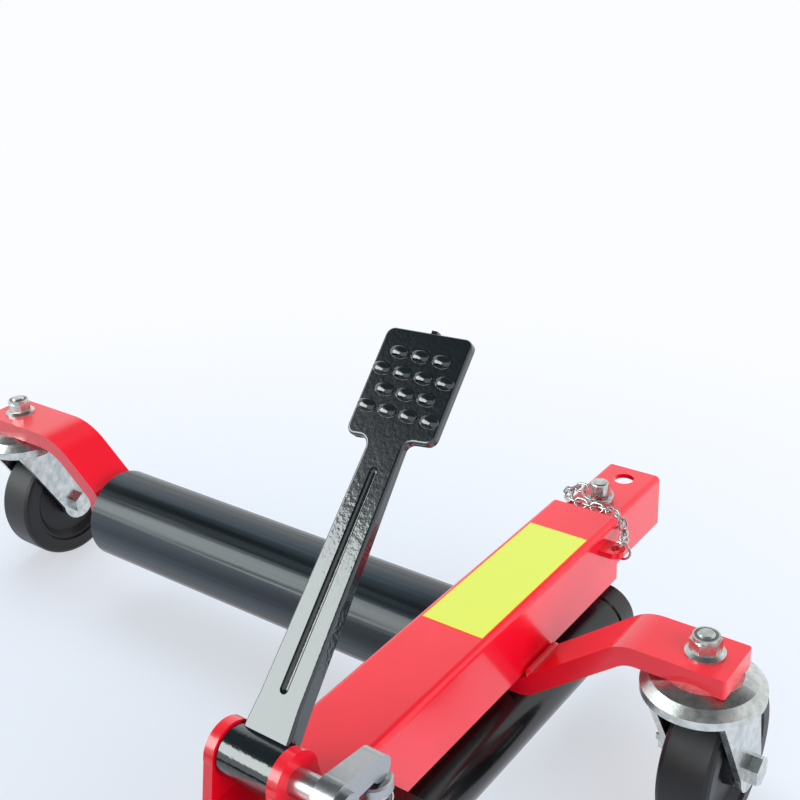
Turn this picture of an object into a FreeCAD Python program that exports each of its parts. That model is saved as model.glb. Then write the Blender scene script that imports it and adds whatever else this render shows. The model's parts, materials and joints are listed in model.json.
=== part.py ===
import FreeCAD, Part
import math
import os
import Sketcher

# Hydraulic wheel dolly: two roller arms on castors, closed under a tyre by a foot pump.
# Millimetres. +Z is up, the floor is Z 0, +Y runs along the main tube, +X along the rollers.
# The origin lies on the floor, under the middle of the whole dolly.

V = FreeCAD.Vector
doc = FreeCAD.newDocument("positioning_jack")
sheet = doc.addObject("Spreadsheet::Sheet", "sizes")

SIZES = [
    ("fit", 0.05), ("gap", 0.3),
    ("top_z", 136), ("tube_x", 166), ("tube_w", 50), ("tube_wall", 4), ("tube_round", 4),
    ("bore_round", 1.2),
    ("tube_len", 440), ("tube_end_y", 320),
    ("inner_w", 40), ("inner_wall", 3.2), ("inner_round", 3.4), ("inner_out", 73),
    ("pin_hole", 14.2), ("hole_first", 15.5), ("hole_pitch", 36),
    ("arm_back", 104), ("arm_gap", 559), ("swivel_x", 297),
    ("bar_w", 37), ("bar_thick", 12), ("bar_over", 19.5), ("bend_in", 5), ("bend_out", 18),
    ("left_bend", 50), ("right_bend", 30), ("castor_h", 125),
    ("slope_start", 23.4), ("slope_end", 88), ("left_flat", 64), ("left_drop", 108.5),
    ("left_bend_z", 98), ("foot_z", 50),
    ("lug_thick", 10), ("lug_low", 22), ("lug_top", 122), ("lug_corner", 9),
    ("roller_d", 68), ("roller_wall", 4), ("roller_z", 77), ("roller_gap", 3.5), ("shaft_d", 20),
    ("shaft_over", 6),
    ("plug_len", 16), ("boss_d", 32), ("edge_break", 1),
    ("wheel_d", 98), ("wheel_w", 32), ("hub_w", 36), ("hub_d", 27), ("web_w", 19), ("web_d", 60),
    ("rim_d", 72), ("tread_r", 3.5),
    ("trail", 24), ("axle_d", 10), ("leg_thick", 4), ("leg_in", 19), ("leg_end_r", 15),
    ("leg_back", 24), ("leg_front", 27),
    ("crown_d", 63), ("crown_top", 40), ("crown_low_z", 109), ("crown_lip", 4), ("crown_h", 13.2),
    ("crown_rise", 7),
    ("cap_d", 70), ("cap_flat", 44), ("cap_sheet", 2.5), ("cap_mid", 60), ("cap_mid_drop", 3),
    ("cap_drop", 8), ("cap_lip", 5),
    ("king_d", 10), ("king_head_h", 6.4), ("king_head_w", 17), ("king_clear", 0.6), ("king_end", 13.2),
    ("nut_w", 16), ("nut_h", 9.4), ("flange_d", 22.8), ("flange_rim", 1.2), ("flange_h", 3),
    ("collar_d", 15.2), ("collar_h", 2.4),
    ("ring_d", 13.2), ("axle_head_w", 16), ("axle_head_h", 6.4), ("axle_nut_h", 9), ("axle_over", 3),
    ("cyl_x", 11), ("cyl_z", 51.4), ("cyl_d", 43.2), ("cyl_wall", 3), ("cyl_ahead", 15),
    ("cap_len", 19), ("spigot", 10),
    ("cyl_len", 335), ("gland_len", 20), ("groove", 1.2), ("rod_d", 18), ("piston_len", 24),
    ("piston_y", 12), ("stroke_room", 3),
    ("hanger_w", 18), ("hanger_len", 16), ("hanger_low", 60), ("hanger_side", 9), ("hanger_far", 32),
    ("hanger_near", 224),
    ("sleeve_len", 90), ("sleeve_ahead", 45), ("cap_plate", 5), ("bracket_thick", 12),
    ("bracket_w", 44), ("bracket_low", 28),
    ("bracket_corner", 10), ("rod_over", 5),
    ("pedal_back", 318), ("pedal_z", 156), ("pedal_lean", 46.3), ("pedal_shaft", 14), ("hub_r", 13.5),
    ("hub_wide", 32),
    ("arm_thick", 10), ("arm_root_y", 11), ("arm_root_w", 29), ("arm_low_y", 30), ("arm_low_w", 26),
    ("arm_high_w", 21.5),
    ("arm_high_y", 158), ("pad_y", 165.5), ("pad_len", 59), ("pad_w", 52), ("pad_thick", 4.6),
    ("pad_skew_top", 1.2),
    ("pad_skew_low", 3), ("pad_round", 5), ("neck_round", 5), ("pad_edge", 1.6), ("slot_w", 5),
    ("slot_low_y", 35.5), ("slot_high_y", 148),
    ("bump_long", 5.6), ("bump_wide", 3.7), ("bump_high", 2.6), ("bump_step", 13),
    ("bump_row", 10.4), ("bump_first", 13.6), ("bump_low", 2.7), ("bump_lean", 1), ("lip_high", 0.6),
    ("nub_w", 3.4), ("nub_h", 1.6),
    ("cheek_in", 17), ("cheek_thick", 6), ("cheek_len", 38), ("cheek_r", 15),
    ("crank_in", 39), ("crank_thick", 12), ("crank_reach", 28), ("crank_hub_r", 11), ("nose_r", 7),
    ("shaft_left", 26), ("shaft_right", 54),
    ("pump_x", 25), ("pump_w", 40), ("pump_ahead", 3), ("pump_len", 60), ("pump_low", 76),
    ("pump_top", 108), ("pump_edge", 3),
    ("plunger_x", 45), ("plunger_d", 12), ("plunger_in", 9), ("bore_deep", 30), ("head_d", 20),
    ("head_h", 6),
    ("spring_d", 17), ("spring_wire", 2), ("bolt_d", 8), ("bolt_head_d", 13), ("bolt_head_h", 8),
    ("bolt_key", 6), ("bolt_inset", 10),
    ("tank_d", 34), ("tank_len", 66), ("tank_z", 92), ("tank_edge", 4), ("tank_plug_d", 12),
    ("tank_plug_h", 5),
    ("pipe_d", 8), ("pipe_bend", 11), ("pipe_in", 9), ("pipe_x", 52), ("union_d", 14), ("union_len", 8),
    ("valve_d", 10), ("valve_ahead", 35), ("valve_z", 90), ("valve_in", 14), ("valve_out", 18),
    ("valve_bar_d", 7), ("valve_bar", 46),
    ("decal_w", 41.4), ("decal_start", 35), ("decal_len", 123), ("decal_thick", 0.3),
    ("weld_high", 6.2), ("weld_wide", 7.4),
    ("tab_back", 20), ("tab_thick", 4), ("tab_out", 7.6), ("tab_down", 12), ("tab_r", 7.2),
    ("tab_hole", 7),
    ("lock_d", 13), ("lock_collar_d", 17.6), ("lock_collar_h", 3), ("lock_top_d", 12), ("lock_up", 15),
    ("lock_round", 1.6), ("lock_down", 9), ("lock_tip", 2),
    ("wire_d", 1.65), ("link_pitch", 6.6), ("link_slack", 1.0), ("link_w", 7.4), ("tab_ring_r", 6),
    ("pin_ring_r", 10.4), ("ring_tilt", 8), ("ring_leave", 4),
]
for row, (word, number) in enumerate(SIZES, 1):
    sheet.set("A%d" % row, word)
    sheet.set("B%d" % row, str(number))
    sheet.setAlias("B%d" % row, word)
doc.recompute()


class Dim:
    """A size that keeps its sheet formula beside its present value."""

    def __init__(self, text, number):
        self.text = text
        self.number = number

    def __add__(self, other):
        other = dim(other)
        return Dim("(%s + %s)" % (self.text, other.text), self.number + other.number)

    def __sub__(self, other):
        other = dim(other)
        return Dim("(%s - %s)" % (self.text, other.text), self.number - other.number)

    def __mul__(self, other):
        other = dim(other)
        return Dim("(%s * %s)" % (self.text, other.text), self.number * other.number)

    def __truediv__(self, other):
        other = dim(other)
        return Dim("(%s / %s)" % (self.text, other.text), self.number / other.number)

    def __neg__(self):
        return Dim("(0 - %s)" % self.text, -self.number)

    def root(self):
        return Dim("sqrt(%s)" % self.text, math.sqrt(self.number))


def dim(value):
    """A size as it is, or a plain ratio or count made into one."""
    if isinstance(value, Dim):
        return value
    return Dim(repr(float(value)), float(value))


class Sizes:
    """Every driving size of the sheet under its own word."""

    def __init__(self):
        for word, number in SIZES:
            setattr(self, word, Dim("sizes." + word, float(sheet.get(word))))


s = Sizes()
zero = dim(0)
made = []


def plane(body, role):
    return [o for o in body.Origin.OriginFeatures if o.Role == role][0]


def place(obj, x, y, z):
    """Binds an object's place to the sheet."""
    for axis, value in zip("xyz", (x, y, z)):
        value = dim(value)
        setattr(obj.Placement.Base, axis, value.number)
        obj.setExpression("Placement.Base." + axis, value.text)


def new_body(label, x=zero, y=zero, z=zero, keep=True):
    body = doc.addObject("PartDesign::Body", label)
    body.Label = label
    place(body, x, y, z)
    if keep:
        made.append(body)
    return body


def new_sketch(body, name, role, offset=None):
    sketch = body.newObject("Sketcher::SketchObject", name)
    sketch.AttachmentSupport = [(plane(body, role), "")]
    sketch.MapMode = "FlatFace"
    if offset is not None:
        sketch.AttachmentOffset = FreeCAD.Placement(V(0, 0, dim(offset).number), FreeCAD.Rotation())
        sketch.setExpression("AttachmentOffset.Base.z", dim(offset).text)
    return sketch


def bind(sketch, kind, geo, pos, value):
    value = dim(value)
    index = sketch.addConstraint(Sketcher.Constraint(kind, -1, 1, geo, pos, value.number))
    sketch.setExpression("Constraints[%d]" % index, value.text)


def add_polygon(sketch, points):
    """A closed outline whose corners are each held by the sheet."""
    points = [(dim(a), dim(b)) for a, b in points]
    first = sketch.GeometryCount
    count = len(points)
    for i in range(count):
        a, b = points[i], points[(i + 1) % count]
        sketch.addGeometry(
            Part.LineSegment(V(a[0].number, a[1].number, 0), V(b[0].number, b[1].number, 0)))
    for i in range(count):
        sketch.addConstraint(
            Sketcher.Constraint("Coincident", first + i, 2, first + (i + 1) % count, 1))
    for i, (a, b) in enumerate(points):
        bind(sketch, "DistanceX", first + i, 1, a)
        bind(sketch, "DistanceY", first + i, 1, b)


def add_circle(sketch, a, b, radius):
    a, b, radius = dim(a), dim(b), dim(radius)
    geo = sketch.addGeometry(Part.Circle(V(a.number, b.number, 0), V(0, 0, 1), radius.number))
    bind(sketch, "DistanceX", geo, 3, a)
    bind(sketch, "DistanceY", geo, 3, b)
    index = sketch.addConstraint(Sketcher.Constraint("Radius", geo, radius.number))
    sketch.setExpression("Constraints[%d]" % index, radius.text)


def add_rectangle(sketch, a0, b0, a1, b1):
    add_polygon(sketch, [(a0, b0), (a1, b0), (a1, b1), (a0, b1)])


def add_hexagon(sketch, flats):
    half = dim(flats) / 2
    side = half / dim(3).root()
    add_polygon(
        sketch,
        [(half, side), (zero, side * 2), (-half, side), (-half, -side), (zero, -side * 2),
        (half, -side)])


def extrude(body, kind, sketch, length, both=False, reverse=False):
    feature = body.newObject("PartDesign::" + kind, sketch.Name + "_" + kind.lower())
    feature.Profile = sketch
    if both:
        feature.SideType = "Symmetric"
    feature.Reversed = reverse
    feature.Length = dim(length).number
    feature.setExpression("Length", dim(length).text)
    sketch.Visibility = False
    doc.recompute()
    return feature


def pad(body, sketch, length, both=False, reverse=False):
    return extrude(body, "Pad", sketch, length, both, reverse)


def pocket(body, sketch, length, both=False, reverse=False):
    before = body.Shape.Volume
    feature = extrude(body, "Pocket", sketch, length, both, reverse)
    if body.Shape.Volume > before - 1e-6:
        raise RuntimeError("nothing cut by " + sketch.Name)
    return feature


def revolve(body, sketch, axis):
    feature = body.newObject("PartDesign::Revolution", sketch.Name + "_turned")
    feature.Profile = sketch
    feature.ReferenceAxis = (sketch, [axis])
    feature.Angle = 360
    sketch.Visibility = False
    doc.recompute()
    return feature


def edges_along(shape, axis, places, reach=0.2):
    """Names of the straight edges along one axis through the given places of the other two axes."""
    names = []
    for number, edge in enumerate(shape.Edges, 1):
        if not isinstance(edge.Curve, (Part.Line, Part.LineSegment)):
            continue
        ends = [v.Point for v in edge.Vertexes]
        run = ends[1] - ends[0]
        if abs(abs(run[axis]) - run.Length) > 1e-6:
            continue
        others = [ends[0][i] for i in range(3) if i != axis]
        for place_at in places:
            near = max(
                abs(others[0] - dim(place_at[0]).number), abs(others[1] - dim(place_at[1]).number))
            if near < reach:
                names.append("Edge%d" % number)
    return names


def dress(body, kind, names, amount):
    """Rounds or breaks the named edges of what the body is so far."""
    tip = body.Tip
    feature = body.newObject(
        "PartDesign::" + kind, "%s_%s_%d" % (body.Name, kind.lower(), len(body.Group)))
    feature.Base = (tip, names)
    word = "Radius" if kind == "Fillet" else "Size"
    setattr(feature, word, dim(amount).number)
    feature.setExpression(word, dim(amount).text)
    tip.Visibility = False
    doc.recompute()
    return feature


def round_edges(body, axis, places, amount):
    names = edges_along(body.Tip.Shape, axis, places)
    if len(names) < len(places):
        raise RuntimeError("edges missing on " + body.Label)
    return dress(body, "Fillet", names, amount)


def end_circles(body, axis, radius):
    """Names of the full circles of one radius about one axis."""
    names = []
    for number, edge in enumerate(body.Tip.Shape.Edges, 1):
        if isinstance(edge.Curve, Part.Circle) and abs(edge.Curve.Radius - dim(radius).number) < 1e-3:
            if abs(abs(edge.Curve.Axis[axis]) - 1) < 1e-6:
                names.append("Edge%d" % number)
    return names


def group(label, members):
    """Separate like solids under one name."""
    node = doc.addObject("Part::Compound", label)
    node.Label = label
    node.Links = members
    made.append(node)
    doc.recompute()
    return node


def coded(label, shape):
    node = doc.addObject("Part::Feature", label)
    node.Label = label
    node.Shape = shape
    made.append(node)
    return node


# Heights and places that several pieces share, all measured from the main tube's far end.
inner_end_y = s.tube_end_y + s.inner_out
arm_a_y = s.tube_end_y - s.arm_back
pedal_y = s.tube_end_y - s.pedal_back
pump_y = pedal_y + s.pump_ahead
cyl_end_y = s.tube_end_y + s.cyl_ahead
tube_z = s.top_z - s.tube_w / 2
under_z = s.top_z - s.tube_w
flat_z = s.castor_h + s.bar_thick
inner_top = tube_z + s.inner_w / 2
arm_b_y = arm_a_y - s.arm_gap
tube_left = s.tube_x - s.tube_w / 2
flange_x = s.left_drop - s.swivel_x
lug_face = tube_left - s.lug_thick
ram_x = s.tube_x + s.cyl_x
sleeve_far = arm_b_y + s.sleeve_ahead
sleeve_near = sleeve_far - s.sleeve_len
axle_z = s.wheel_d / 2
pin_y = inner_end_y - s.hole_first - s.hole_pitch


def square_tube(label, x, y, z, wide, wall, length, round_out, round_in):
    """A square tube that runs back from its far end along -Y."""
    body = new_body(label, x, y, z)
    half = wide / 2
    clear = half - wall
    sketch = new_sketch(body, label + "_section", "XZ_Plane")
    add_rectangle(sketch, -half, -half, half, half)
    add_rectangle(sketch, -clear, -clear, clear, clear)
    pad(body, sketch, length)
    corners = [(a, b) for a in (-half, half) for b in (-half, half)]
    round_edges(body, 1, corners, round_out)
    corners = [(a, b) for a in (-clear, clear) for b in (-clear, clear)]
    round_edges(body, 1, corners, round_in)
    return body


# The main tube, with two holes in its right wall for the pump's screws.
outer = square_tube(
    "outer_tube", s.tube_x, s.tube_end_y, tube_z, s.tube_w, s.tube_wall, s.tube_len, s.tube_round,
    s.bore_round)
bolt_ys = [pump_y + s.bolt_inset, pump_y + s.pump_len - s.bolt_inset]
bolt_z = (s.pump_low + s.pump_top) / 2 + s.bolt_d / 2
sketch = new_sketch(outer, "pump_screw_holes", "YZ_Plane")
for bolt_y in bolt_ys:
    add_circle(sketch, bolt_y - s.tube_end_y, bolt_z - tube_z, s.bolt_d / 2 + s.fit)
pocket(outer, sketch, s.tube_w, reverse=True)

# The sliding tube, with its row of pin holes.
inner = square_tube(
    "inner_tube", s.tube_x, inner_end_y, tube_z, s.inner_w, s.inner_wall,
    inner_end_y - sleeve_near - s.gap, s.inner_round, s.bore_round)
sketch = new_sketch(inner, "lock_holes", "XY_Plane")
for number in range(9):
    add_circle(sketch, zero, -(s.hole_first + s.hole_pitch * number), s.pin_hole / 2)
pocket(inner, sketch, s.inner_w * 2, both=True)

# The socket that the sliding tube is welded into at the second arm, and its closing plate.
sleeve_wall = (s.tube_w - s.inner_w) / 2 - s.gap
square_tube(
    "arm_b_socket", s.tube_x, sleeve_far, tube_z, s.tube_w, sleeve_wall, s.sleeve_len, s.tube_round,
    s.bore_round)
body = new_body("socket_end_plate", s.tube_x, sleeve_near, tube_z)
sketch = new_sketch(body, "end_plate_outline", "XZ_Plane")
half = s.tube_w / 2
add_rectangle(sketch, -half, -half, half, half)
pad(body, sketch, s.cap_plate)
round_edges(body, 1, [(a, b) for a in (-half, half) for b in (-half, half)], s.tube_round)


def right_arm(label, y):
    """The bent bar under the tube that rises to the right castor."""
    body = new_body(label, s.tube_x, y, zero)
    run = s.slope_end - s.slope_start
    rise = flat_z - under_z
    slant = (run * run + rise * rise).root()
    shift = s.bar_thick * (slant - run) / rise
    tip = s.swivel_x - s.tube_x + s.bar_over
    left = -s.tube_w / 2
    low, high = under_z - s.bar_thick, s.castor_h
    sketch = new_sketch(body, label + "_side", "XZ_Plane")
    add_polygon(sketch, [
        (left, under_z), (s.slope_start, under_z), (s.slope_end, flat_z), (tip, flat_z),
        (tip, high), (s.slope_end + shift, high), (s.slope_start + shift, low), (left, low),
    ])
    pad(body, sketch, s.bar_w, both=True)
    round_edges(body, 1, [(s.slope_start, under_z)], s.bend_in)
    round_edges(body, 1, [(s.slope_start + shift, low)], s.bend_out)
    round_edges(body, 1, [(s.slope_end + shift, high)], s.right_bend - s.bar_thick)
    round_edges(body, 1, [(s.slope_end, flat_z)], s.right_bend)
    names = edges_along(body.Tip.Shape, 2, [(tip, s.bar_w / 2), (tip, -s.bar_w / 2)])
    dress(body, "Fillet", names, s.edge_break * 2)
    sketch = new_sketch(body, label + "_bolt_hole", "XY_Plane")
    add_circle(sketch, s.swivel_x - s.tube_x, zero, s.king_d / 2 + s.fit)
    pocket(body, sketch, flat_z * 2, both=True)


def left_arm(label, y):
    """The bent bar from the left castor down to the far end of the roller shaft."""
    body = new_body(label, -s.swivel_x, y, zero)
    run = s.left_drop - s.left_flat
    rise = flat_z - s.left_bend_z
    slant = (run * run + rise * rise).root()
    shift = s.bar_thick * (slant - run) / rise
    drop = s.bar_thick * (slant - rise) / run
    back = s.left_drop - s.bar_thick
    sketch = new_sketch(body, label + "_side", "XZ_Plane")
    add_polygon(sketch, [
        (-s.bar_over, flat_z), (s.left_flat, flat_z), (s.left_drop, s.left_bend_z),
        (s.left_drop, s.foot_z),
        (back, s.foot_z), (back, s.left_bend_z - drop), (s.left_flat - shift, s.castor_h),
        (-s.bar_over, s.castor_h),
    ])
    pad(body, sketch, s.bar_w, both=True)
    round_edges(body, 1, [(back, s.left_bend_z - drop)], s.bend_in)
    round_edges(body, 1, [(s.left_drop, s.left_bend_z)], s.bend_out)
    round_edges(body, 1, [(s.left_flat - shift, s.castor_h)], s.left_bend - s.bar_thick)
    round_edges(body, 1, [(s.left_flat, flat_z)], s.left_bend)
    names = edges_along(body.Tip.Shape, 2, [(-s.bar_over, s.bar_w / 2), (-s.bar_over, -s.bar_w / 2)])
    dress(body, "Fillet", names, s.edge_break * 2)
    names = edges_along(body.Tip.Shape, 0, [(s.bar_w / 2, s.foot_z), (-s.bar_w / 2, s.foot_z)])
    dress(body, "Fillet", names, s.lug_corner)
    sketch = new_sketch(body, label + "_bolt_hole", "XY_Plane")
    add_circle(sketch, zero, zero, s.king_d / 2 + s.fit)
    pocket(body, sketch, flat_z * 2, both=True)
    sketch = new_sketch(body, label + "_shaft_hole", "YZ_Plane")
    add_circle(sketch, zero, s.roller_z, s.shaft_d / 2 + s.fit)
    pocket(body, sketch, s.left_drop * 3, both=True)


def roller_arm(tag, y):
    """Lug, shaft, roller and its two end plugs for one arm."""
    body = new_body("shaft_lug_" + tag, lug_face, y, zero)
    sketch = new_sketch(body, "lug_outline_" + tag, "YZ_Plane")
    half_w = s.bar_w / 2
    low = s.roller_z - s.lug_low
    add_rectangle(sketch, -half_w, low, half_w, s.lug_top)
    pad(body, sketch, s.lug_thick)
    round_edges(body, 0, [(a, b) for a in (-half_w, half_w) for b in (low, s.lug_top)], s.lug_corner)
    sketch = new_sketch(body, "lug_hole_" + tag, "YZ_Plane")
    add_circle(sketch, zero, s.roller_z, s.shaft_d / 2 + s.fit)
    pocket(body, sketch, s.lug_thick * 3, both=True)

    start = flange_x - s.bar_thick - s.shaft_over
    body = new_body("roller_shaft_" + tag, start, y, s.roller_z)
    sketch = new_sketch(body, "shaft_section_" + tag, "YZ_Plane")
    add_circle(sketch, zero, zero, s.shaft_d / 2)
    pad(body, sketch, tube_left - s.gap - start)
    dress(body, "Chamfer", end_circles(body, 0, s.shaft_d / 2), s.edge_break)

    begin = flange_x + s.roller_gap
    finish = lug_face - s.roller_gap
    body = new_body("roller_" + tag, begin, y, s.roller_z)
    sketch = new_sketch(body, "roller_section_" + tag, "YZ_Plane")
    add_circle(sketch, zero, zero, s.roller_d / 2)
    add_circle(sketch, zero, zero, s.roller_d / 2 - s.roller_wall)
    pad(body, sketch, finish - begin)
    dress(body, "Chamfer", end_circles(body, 0, s.roller_d / 2), s.edge_break)

    plugs = []
    for side, at in (("left", begin), ("right", finish)):
        plug = new_body("roller_plug_%s_%s" % (tag, side), at, y, s.roller_z, keep=False)
        out = -1 if side == "left" else 1
        boss = (s.roller_gap - s.gap) * out
        inset = s.edge_break * 2 * -out
        deep = s.plug_len * -out
        bore = s.shaft_d / 2 + s.fit
        edge = s.roller_d / 2 - s.roller_wall - s.fit * 2
        sketch = new_sketch(plug, "plug_half_%s_%s" % (tag, side), "XZ_Plane")
        add_polygon(sketch, [
            (boss, bore), (boss, s.boss_d / 2), (inset, s.boss_d / 2), (inset, edge), (deep, edge),
            (deep, bore),
        ])
        revolve(plug, sketch, "H_Axis")
        plugs.append(plug)
    group("roller_plugs_" + tag, plugs)


def weld(label, y):
    """The bead in the corner between the tube and the rising bar."""
    slope = (flat_z - under_z) / (s.slope_end - s.slope_start)
    at = s.tube_w / 2 + s.fit
    foot = under_z + slope * (at - s.slope_start) + s.gap
    toe = at + s.weld_wide
    toe_z = under_z + slope * (toe - s.slope_start) + s.fit * 2
    body = new_body(label, s.tube_x, y, zero)
    sketch = new_sketch(body, label + "_section", "XZ_Plane")
    add_polygon(sketch, [(at, foot + s.weld_high), (at, foot), (toe, toe_z)])
    pad(body, sketch, s.bar_w + s.gap * 2, both=True)


for tag, arm_y in (("a", arm_a_y), ("b", arm_b_y)):
    right_arm("arm_%s_right" % tag, arm_y)
    left_arm("arm_%s_left" % tag, arm_y)
    roller_arm(tag, arm_y)
    weld("arm_%s_weld" % tag, arm_y)


def race_cap(name, x, y):
    """The pressed cap that is bolted under a bar and covers the swivel bearing."""
    body = new_body(name, x, y, s.castor_h, keep=False)
    bore = s.king_d / 2 + s.fit
    t = s.cap_sheet
    rim = s.cap_d / 2
    low = s.cap_drop + s.cap_lip
    sketch = new_sketch(body, name + "_half", "XZ_Plane")
    add_polygon(sketch, [
        (bore, zero), (s.cap_flat / 2, zero), (s.cap_mid / 2, -s.cap_mid_drop), (rim, -s.cap_drop),
        (rim, -low),
        (rim - t, -low), (rim - t, -s.cap_drop - t / 2), (s.cap_mid / 2 - t / 2, -s.cap_mid_drop - t),
        (s.cap_flat / 2 - t / 4, -t), (bore, -t),
    ])
    revolve(body, sketch, "V_Axis")
    return body


def king_bolt(name, x, y):
    body = new_body(name, x, y, zero, keep=False)
    head_top = s.crown_low_z - s.gap
    sketch = new_sketch(body, name + "_head", "XY_Plane", head_top - s.king_head_h)
    add_hexagon(sketch, s.king_head_w)
    pad(body, sketch, s.king_head_h)
    sketch = new_sketch(body, name + "_shank", "XY_Plane", head_top - s.king_head_h / 2)
    add_circle(sketch, zero, zero, s.king_d / 2)
    pad(body, sketch, flat_z + s.king_end - head_top + s.king_head_h / 2)
    solid = body.Tip.Shape
    rims = end_circles(body, 2, s.king_d / 2)
    names = [n for n in rims if solid.getElement(n).BoundBox.ZMin > flat_z.number]
    dress(body, "Chamfer", names, s.edge_break)
    return body


def king_nut(name, x, y):
    """A flanged lock nut with a round collar on top."""
    body = new_body(name, x, y, flat_z, keep=False)
    bore = s.king_d / 2 + s.fit
    rim = s.flange_d / 2
    sketch = new_sketch(body, name + "_flange", "XZ_Plane")
    add_polygon(sketch, [
        (bore, zero), (rim, zero), (rim, s.flange_rim), (s.nut_w / 2 + s.edge_break, s.flange_h),
        (bore, s.flange_h),
    ])
    revolve(body, sketch, "V_Axis")
    sketch = new_sketch(body, name + "_hex", "XY_Plane", s.flange_h / 2)
    add_hexagon(sketch, s.nut_w)
    add_circle(sketch, zero, zero, bore)
    pad(body, sketch, s.nut_h - s.flange_h / 2)
    sketch = new_sketch(body, name + "_collar", "XY_Plane", s.nut_h)
    add_circle(sketch, zero, zero, s.collar_d / 2)
    add_circle(sketch, zero, zero, s.ring_d / 2 + s.fit)
    pad(body, sketch, s.collar_h)
    return body


def lock_ring(name, x, y):
    """The nylon ring held by the nut's collar."""
    body = new_body(name, x, y, flat_z + s.nut_h, keep=False)
    sketch = new_sketch(body, name + "_section", "XY_Plane", s.fit)
    add_circle(sketch, zero, zero, s.ring_d / 2)
    add_circle(sketch, zero, zero, s.king_d / 2 + s.fit)
    pad(body, sketch, s.collar_h - s.fit * 4)
    return body


def castor(tag, x, y):
    """Fork, axle and wheel of one swivel castor, trailing towards +Y."""
    body = new_body("castor_%s_fork" % tag, x, y, zero)
    top = s.crown_low_z + s.crown_h
    shoulder = s.crown_low_z + s.crown_rise
    rim = s.crown_d / 2
    sketch = new_sketch(body, "crown_half_" + tag, "XZ_Plane")
    bore = s.king_d / 2 + s.king_clear
    add_polygon(sketch, [
        (bore, s.crown_low_z), (rim, s.crown_low_z), (rim, s.crown_low_z + s.crown_lip),
        (s.crown_top / 2, shoulder),
        (s.crown_top / 2 - s.edge_break, top), (bore, top),
    ])
    revolve(body, sketch, "V_Axis")
    for side, offset in (("r", s.leg_in), ("l", -s.leg_in - s.leg_thick)):
        sketch = new_sketch(body, "leg_%s_%s" % (tag, side), "YZ_Plane", offset)
        crown_mid = s.crown_low_z + s.crown_lip / 2
        add_polygon(sketch, [
            (-s.leg_back, crown_mid), (s.trail - s.leg_end_r, axle_z), (s.trail + s.leg_end_r, axle_z),
            (s.leg_front, crown_mid),
        ])
        pad(body, sketch, s.leg_thick)
        sketch = new_sketch(body, "leg_end_%s_%s" % (tag, side), "YZ_Plane", offset)
        add_circle(sketch, s.trail, axle_z, s.leg_end_r)
        pad(body, sketch, s.leg_thick)
    sketch = new_sketch(body, "axle_holes_" + tag, "YZ_Plane")
    add_circle(sketch, s.trail, axle_z, s.axle_d / 2 + s.fit)
    pocket(body, sketch, s.leg_in * 4, both=True)

    leg_out = s.leg_in + s.leg_thick
    bolt = new_body("axle_bolt_" + tag, x, y + s.trail, axle_z, keep=False)
    sketch = new_sketch(bolt, "axle_head_" + tag, "YZ_Plane", leg_out + s.fit)
    add_hexagon(sketch, s.axle_head_w)
    pad(bolt, sketch, s.axle_head_h)
    length = leg_out * 2 + s.axle_nut_h + s.axle_over + s.axle_head_h / 2
    sketch = new_sketch(bolt, "axle_shank_" + tag, "YZ_Plane", leg_out + s.axle_head_h / 2 - length)
    add_circle(sketch, zero, zero, s.axle_d / 2)
    pad(bolt, sketch, length)
    nut = new_body("axle_nut_" + tag, x, y + s.trail, axle_z, keep=False)
    sketch = new_sketch(nut, "axle_nut_hex_" + tag, "YZ_Plane", -leg_out - s.fit - s.axle_nut_h)
    add_hexagon(sketch, s.axle_head_w)
    add_circle(sketch, zero, zero, s.axle_d / 2 + s.fit)
    pad(nut, sketch, s.axle_nut_h)
    group("castor_%s_axle" % tag, [bolt, nut])

    wheel = new_body("castor_%s_wheel" % tag, x, y + s.trail, axle_z)
    bore = s.axle_d / 2 + s.fit
    half = [
        (s.hub_w / 2, bore), (s.hub_w / 2, s.hub_d / 2 - s.edge_break),
        (s.hub_w / 2 - s.edge_break, s.hub_d / 2),
        (s.web_w / 2 + s.edge_break, s.hub_d / 2 + s.edge_break), (s.web_w / 2, s.web_d / 2),
        (s.wheel_w / 2 - s.edge_break * 2, s.rim_d / 2 - s.edge_break * 2),
        (s.wheel_w / 2 - s.edge_break * 2, s.rim_d / 2),
        (s.wheel_w / 2, s.rim_d / 2 + s.edge_break), (s.wheel_w / 2, s.wheel_d / 2 - s.tread_r),
        (s.wheel_w / 2 - s.tread_r / 3, s.wheel_d / 2 - s.tread_r / 3),
        (s.wheel_w / 2 - s.tread_r, s.wheel_d / 2),
    ]
    sketch = new_sketch(wheel, "wheel_half_" + tag, "XZ_Plane")
    add_polygon(sketch, half + [(-a, b) for a, b in reversed(half)])
    revolve(wheel, sketch, "H_Axis")


for tag, arm_y in (("a", arm_a_y), ("b", arm_b_y)):
    sides = (("l", -s.swivel_x), ("r", s.swivel_x))
    group("race_caps_" + tag, [race_cap("race_cap_%s%s" % (tag, side), x, arm_y) for side, x in sides])
    group(
        "king_bolts_" + tag, [king_bolt("king_bolt_%s%s" % (tag, side), x, arm_y) for side, x in sides])
    group("king_nuts_" + tag, [king_nut("king_nut_%s%s" % (tag, side), x, arm_y) for side, x in sides])
    group("nut_rings_" + tag, [lock_ring("nut_ring_%s%s" % (tag, side), x, arm_y) for side, x in sides])
    for side, x in sides:
        castor(tag + side, x, arm_y)


def turned_y(label, y, points):
    """A turned piece on the ram's line, drawn as (distance towards -Y, radius)."""
    body = new_body(label, ram_x, y, s.cyl_z)
    sketch = new_sketch(body, label + "_half", "YZ_Plane")
    add_polygon(sketch, [(-dim(a), b) for a, b in points])
    revolve(body, sketch, "H_Axis")
    return body


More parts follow.
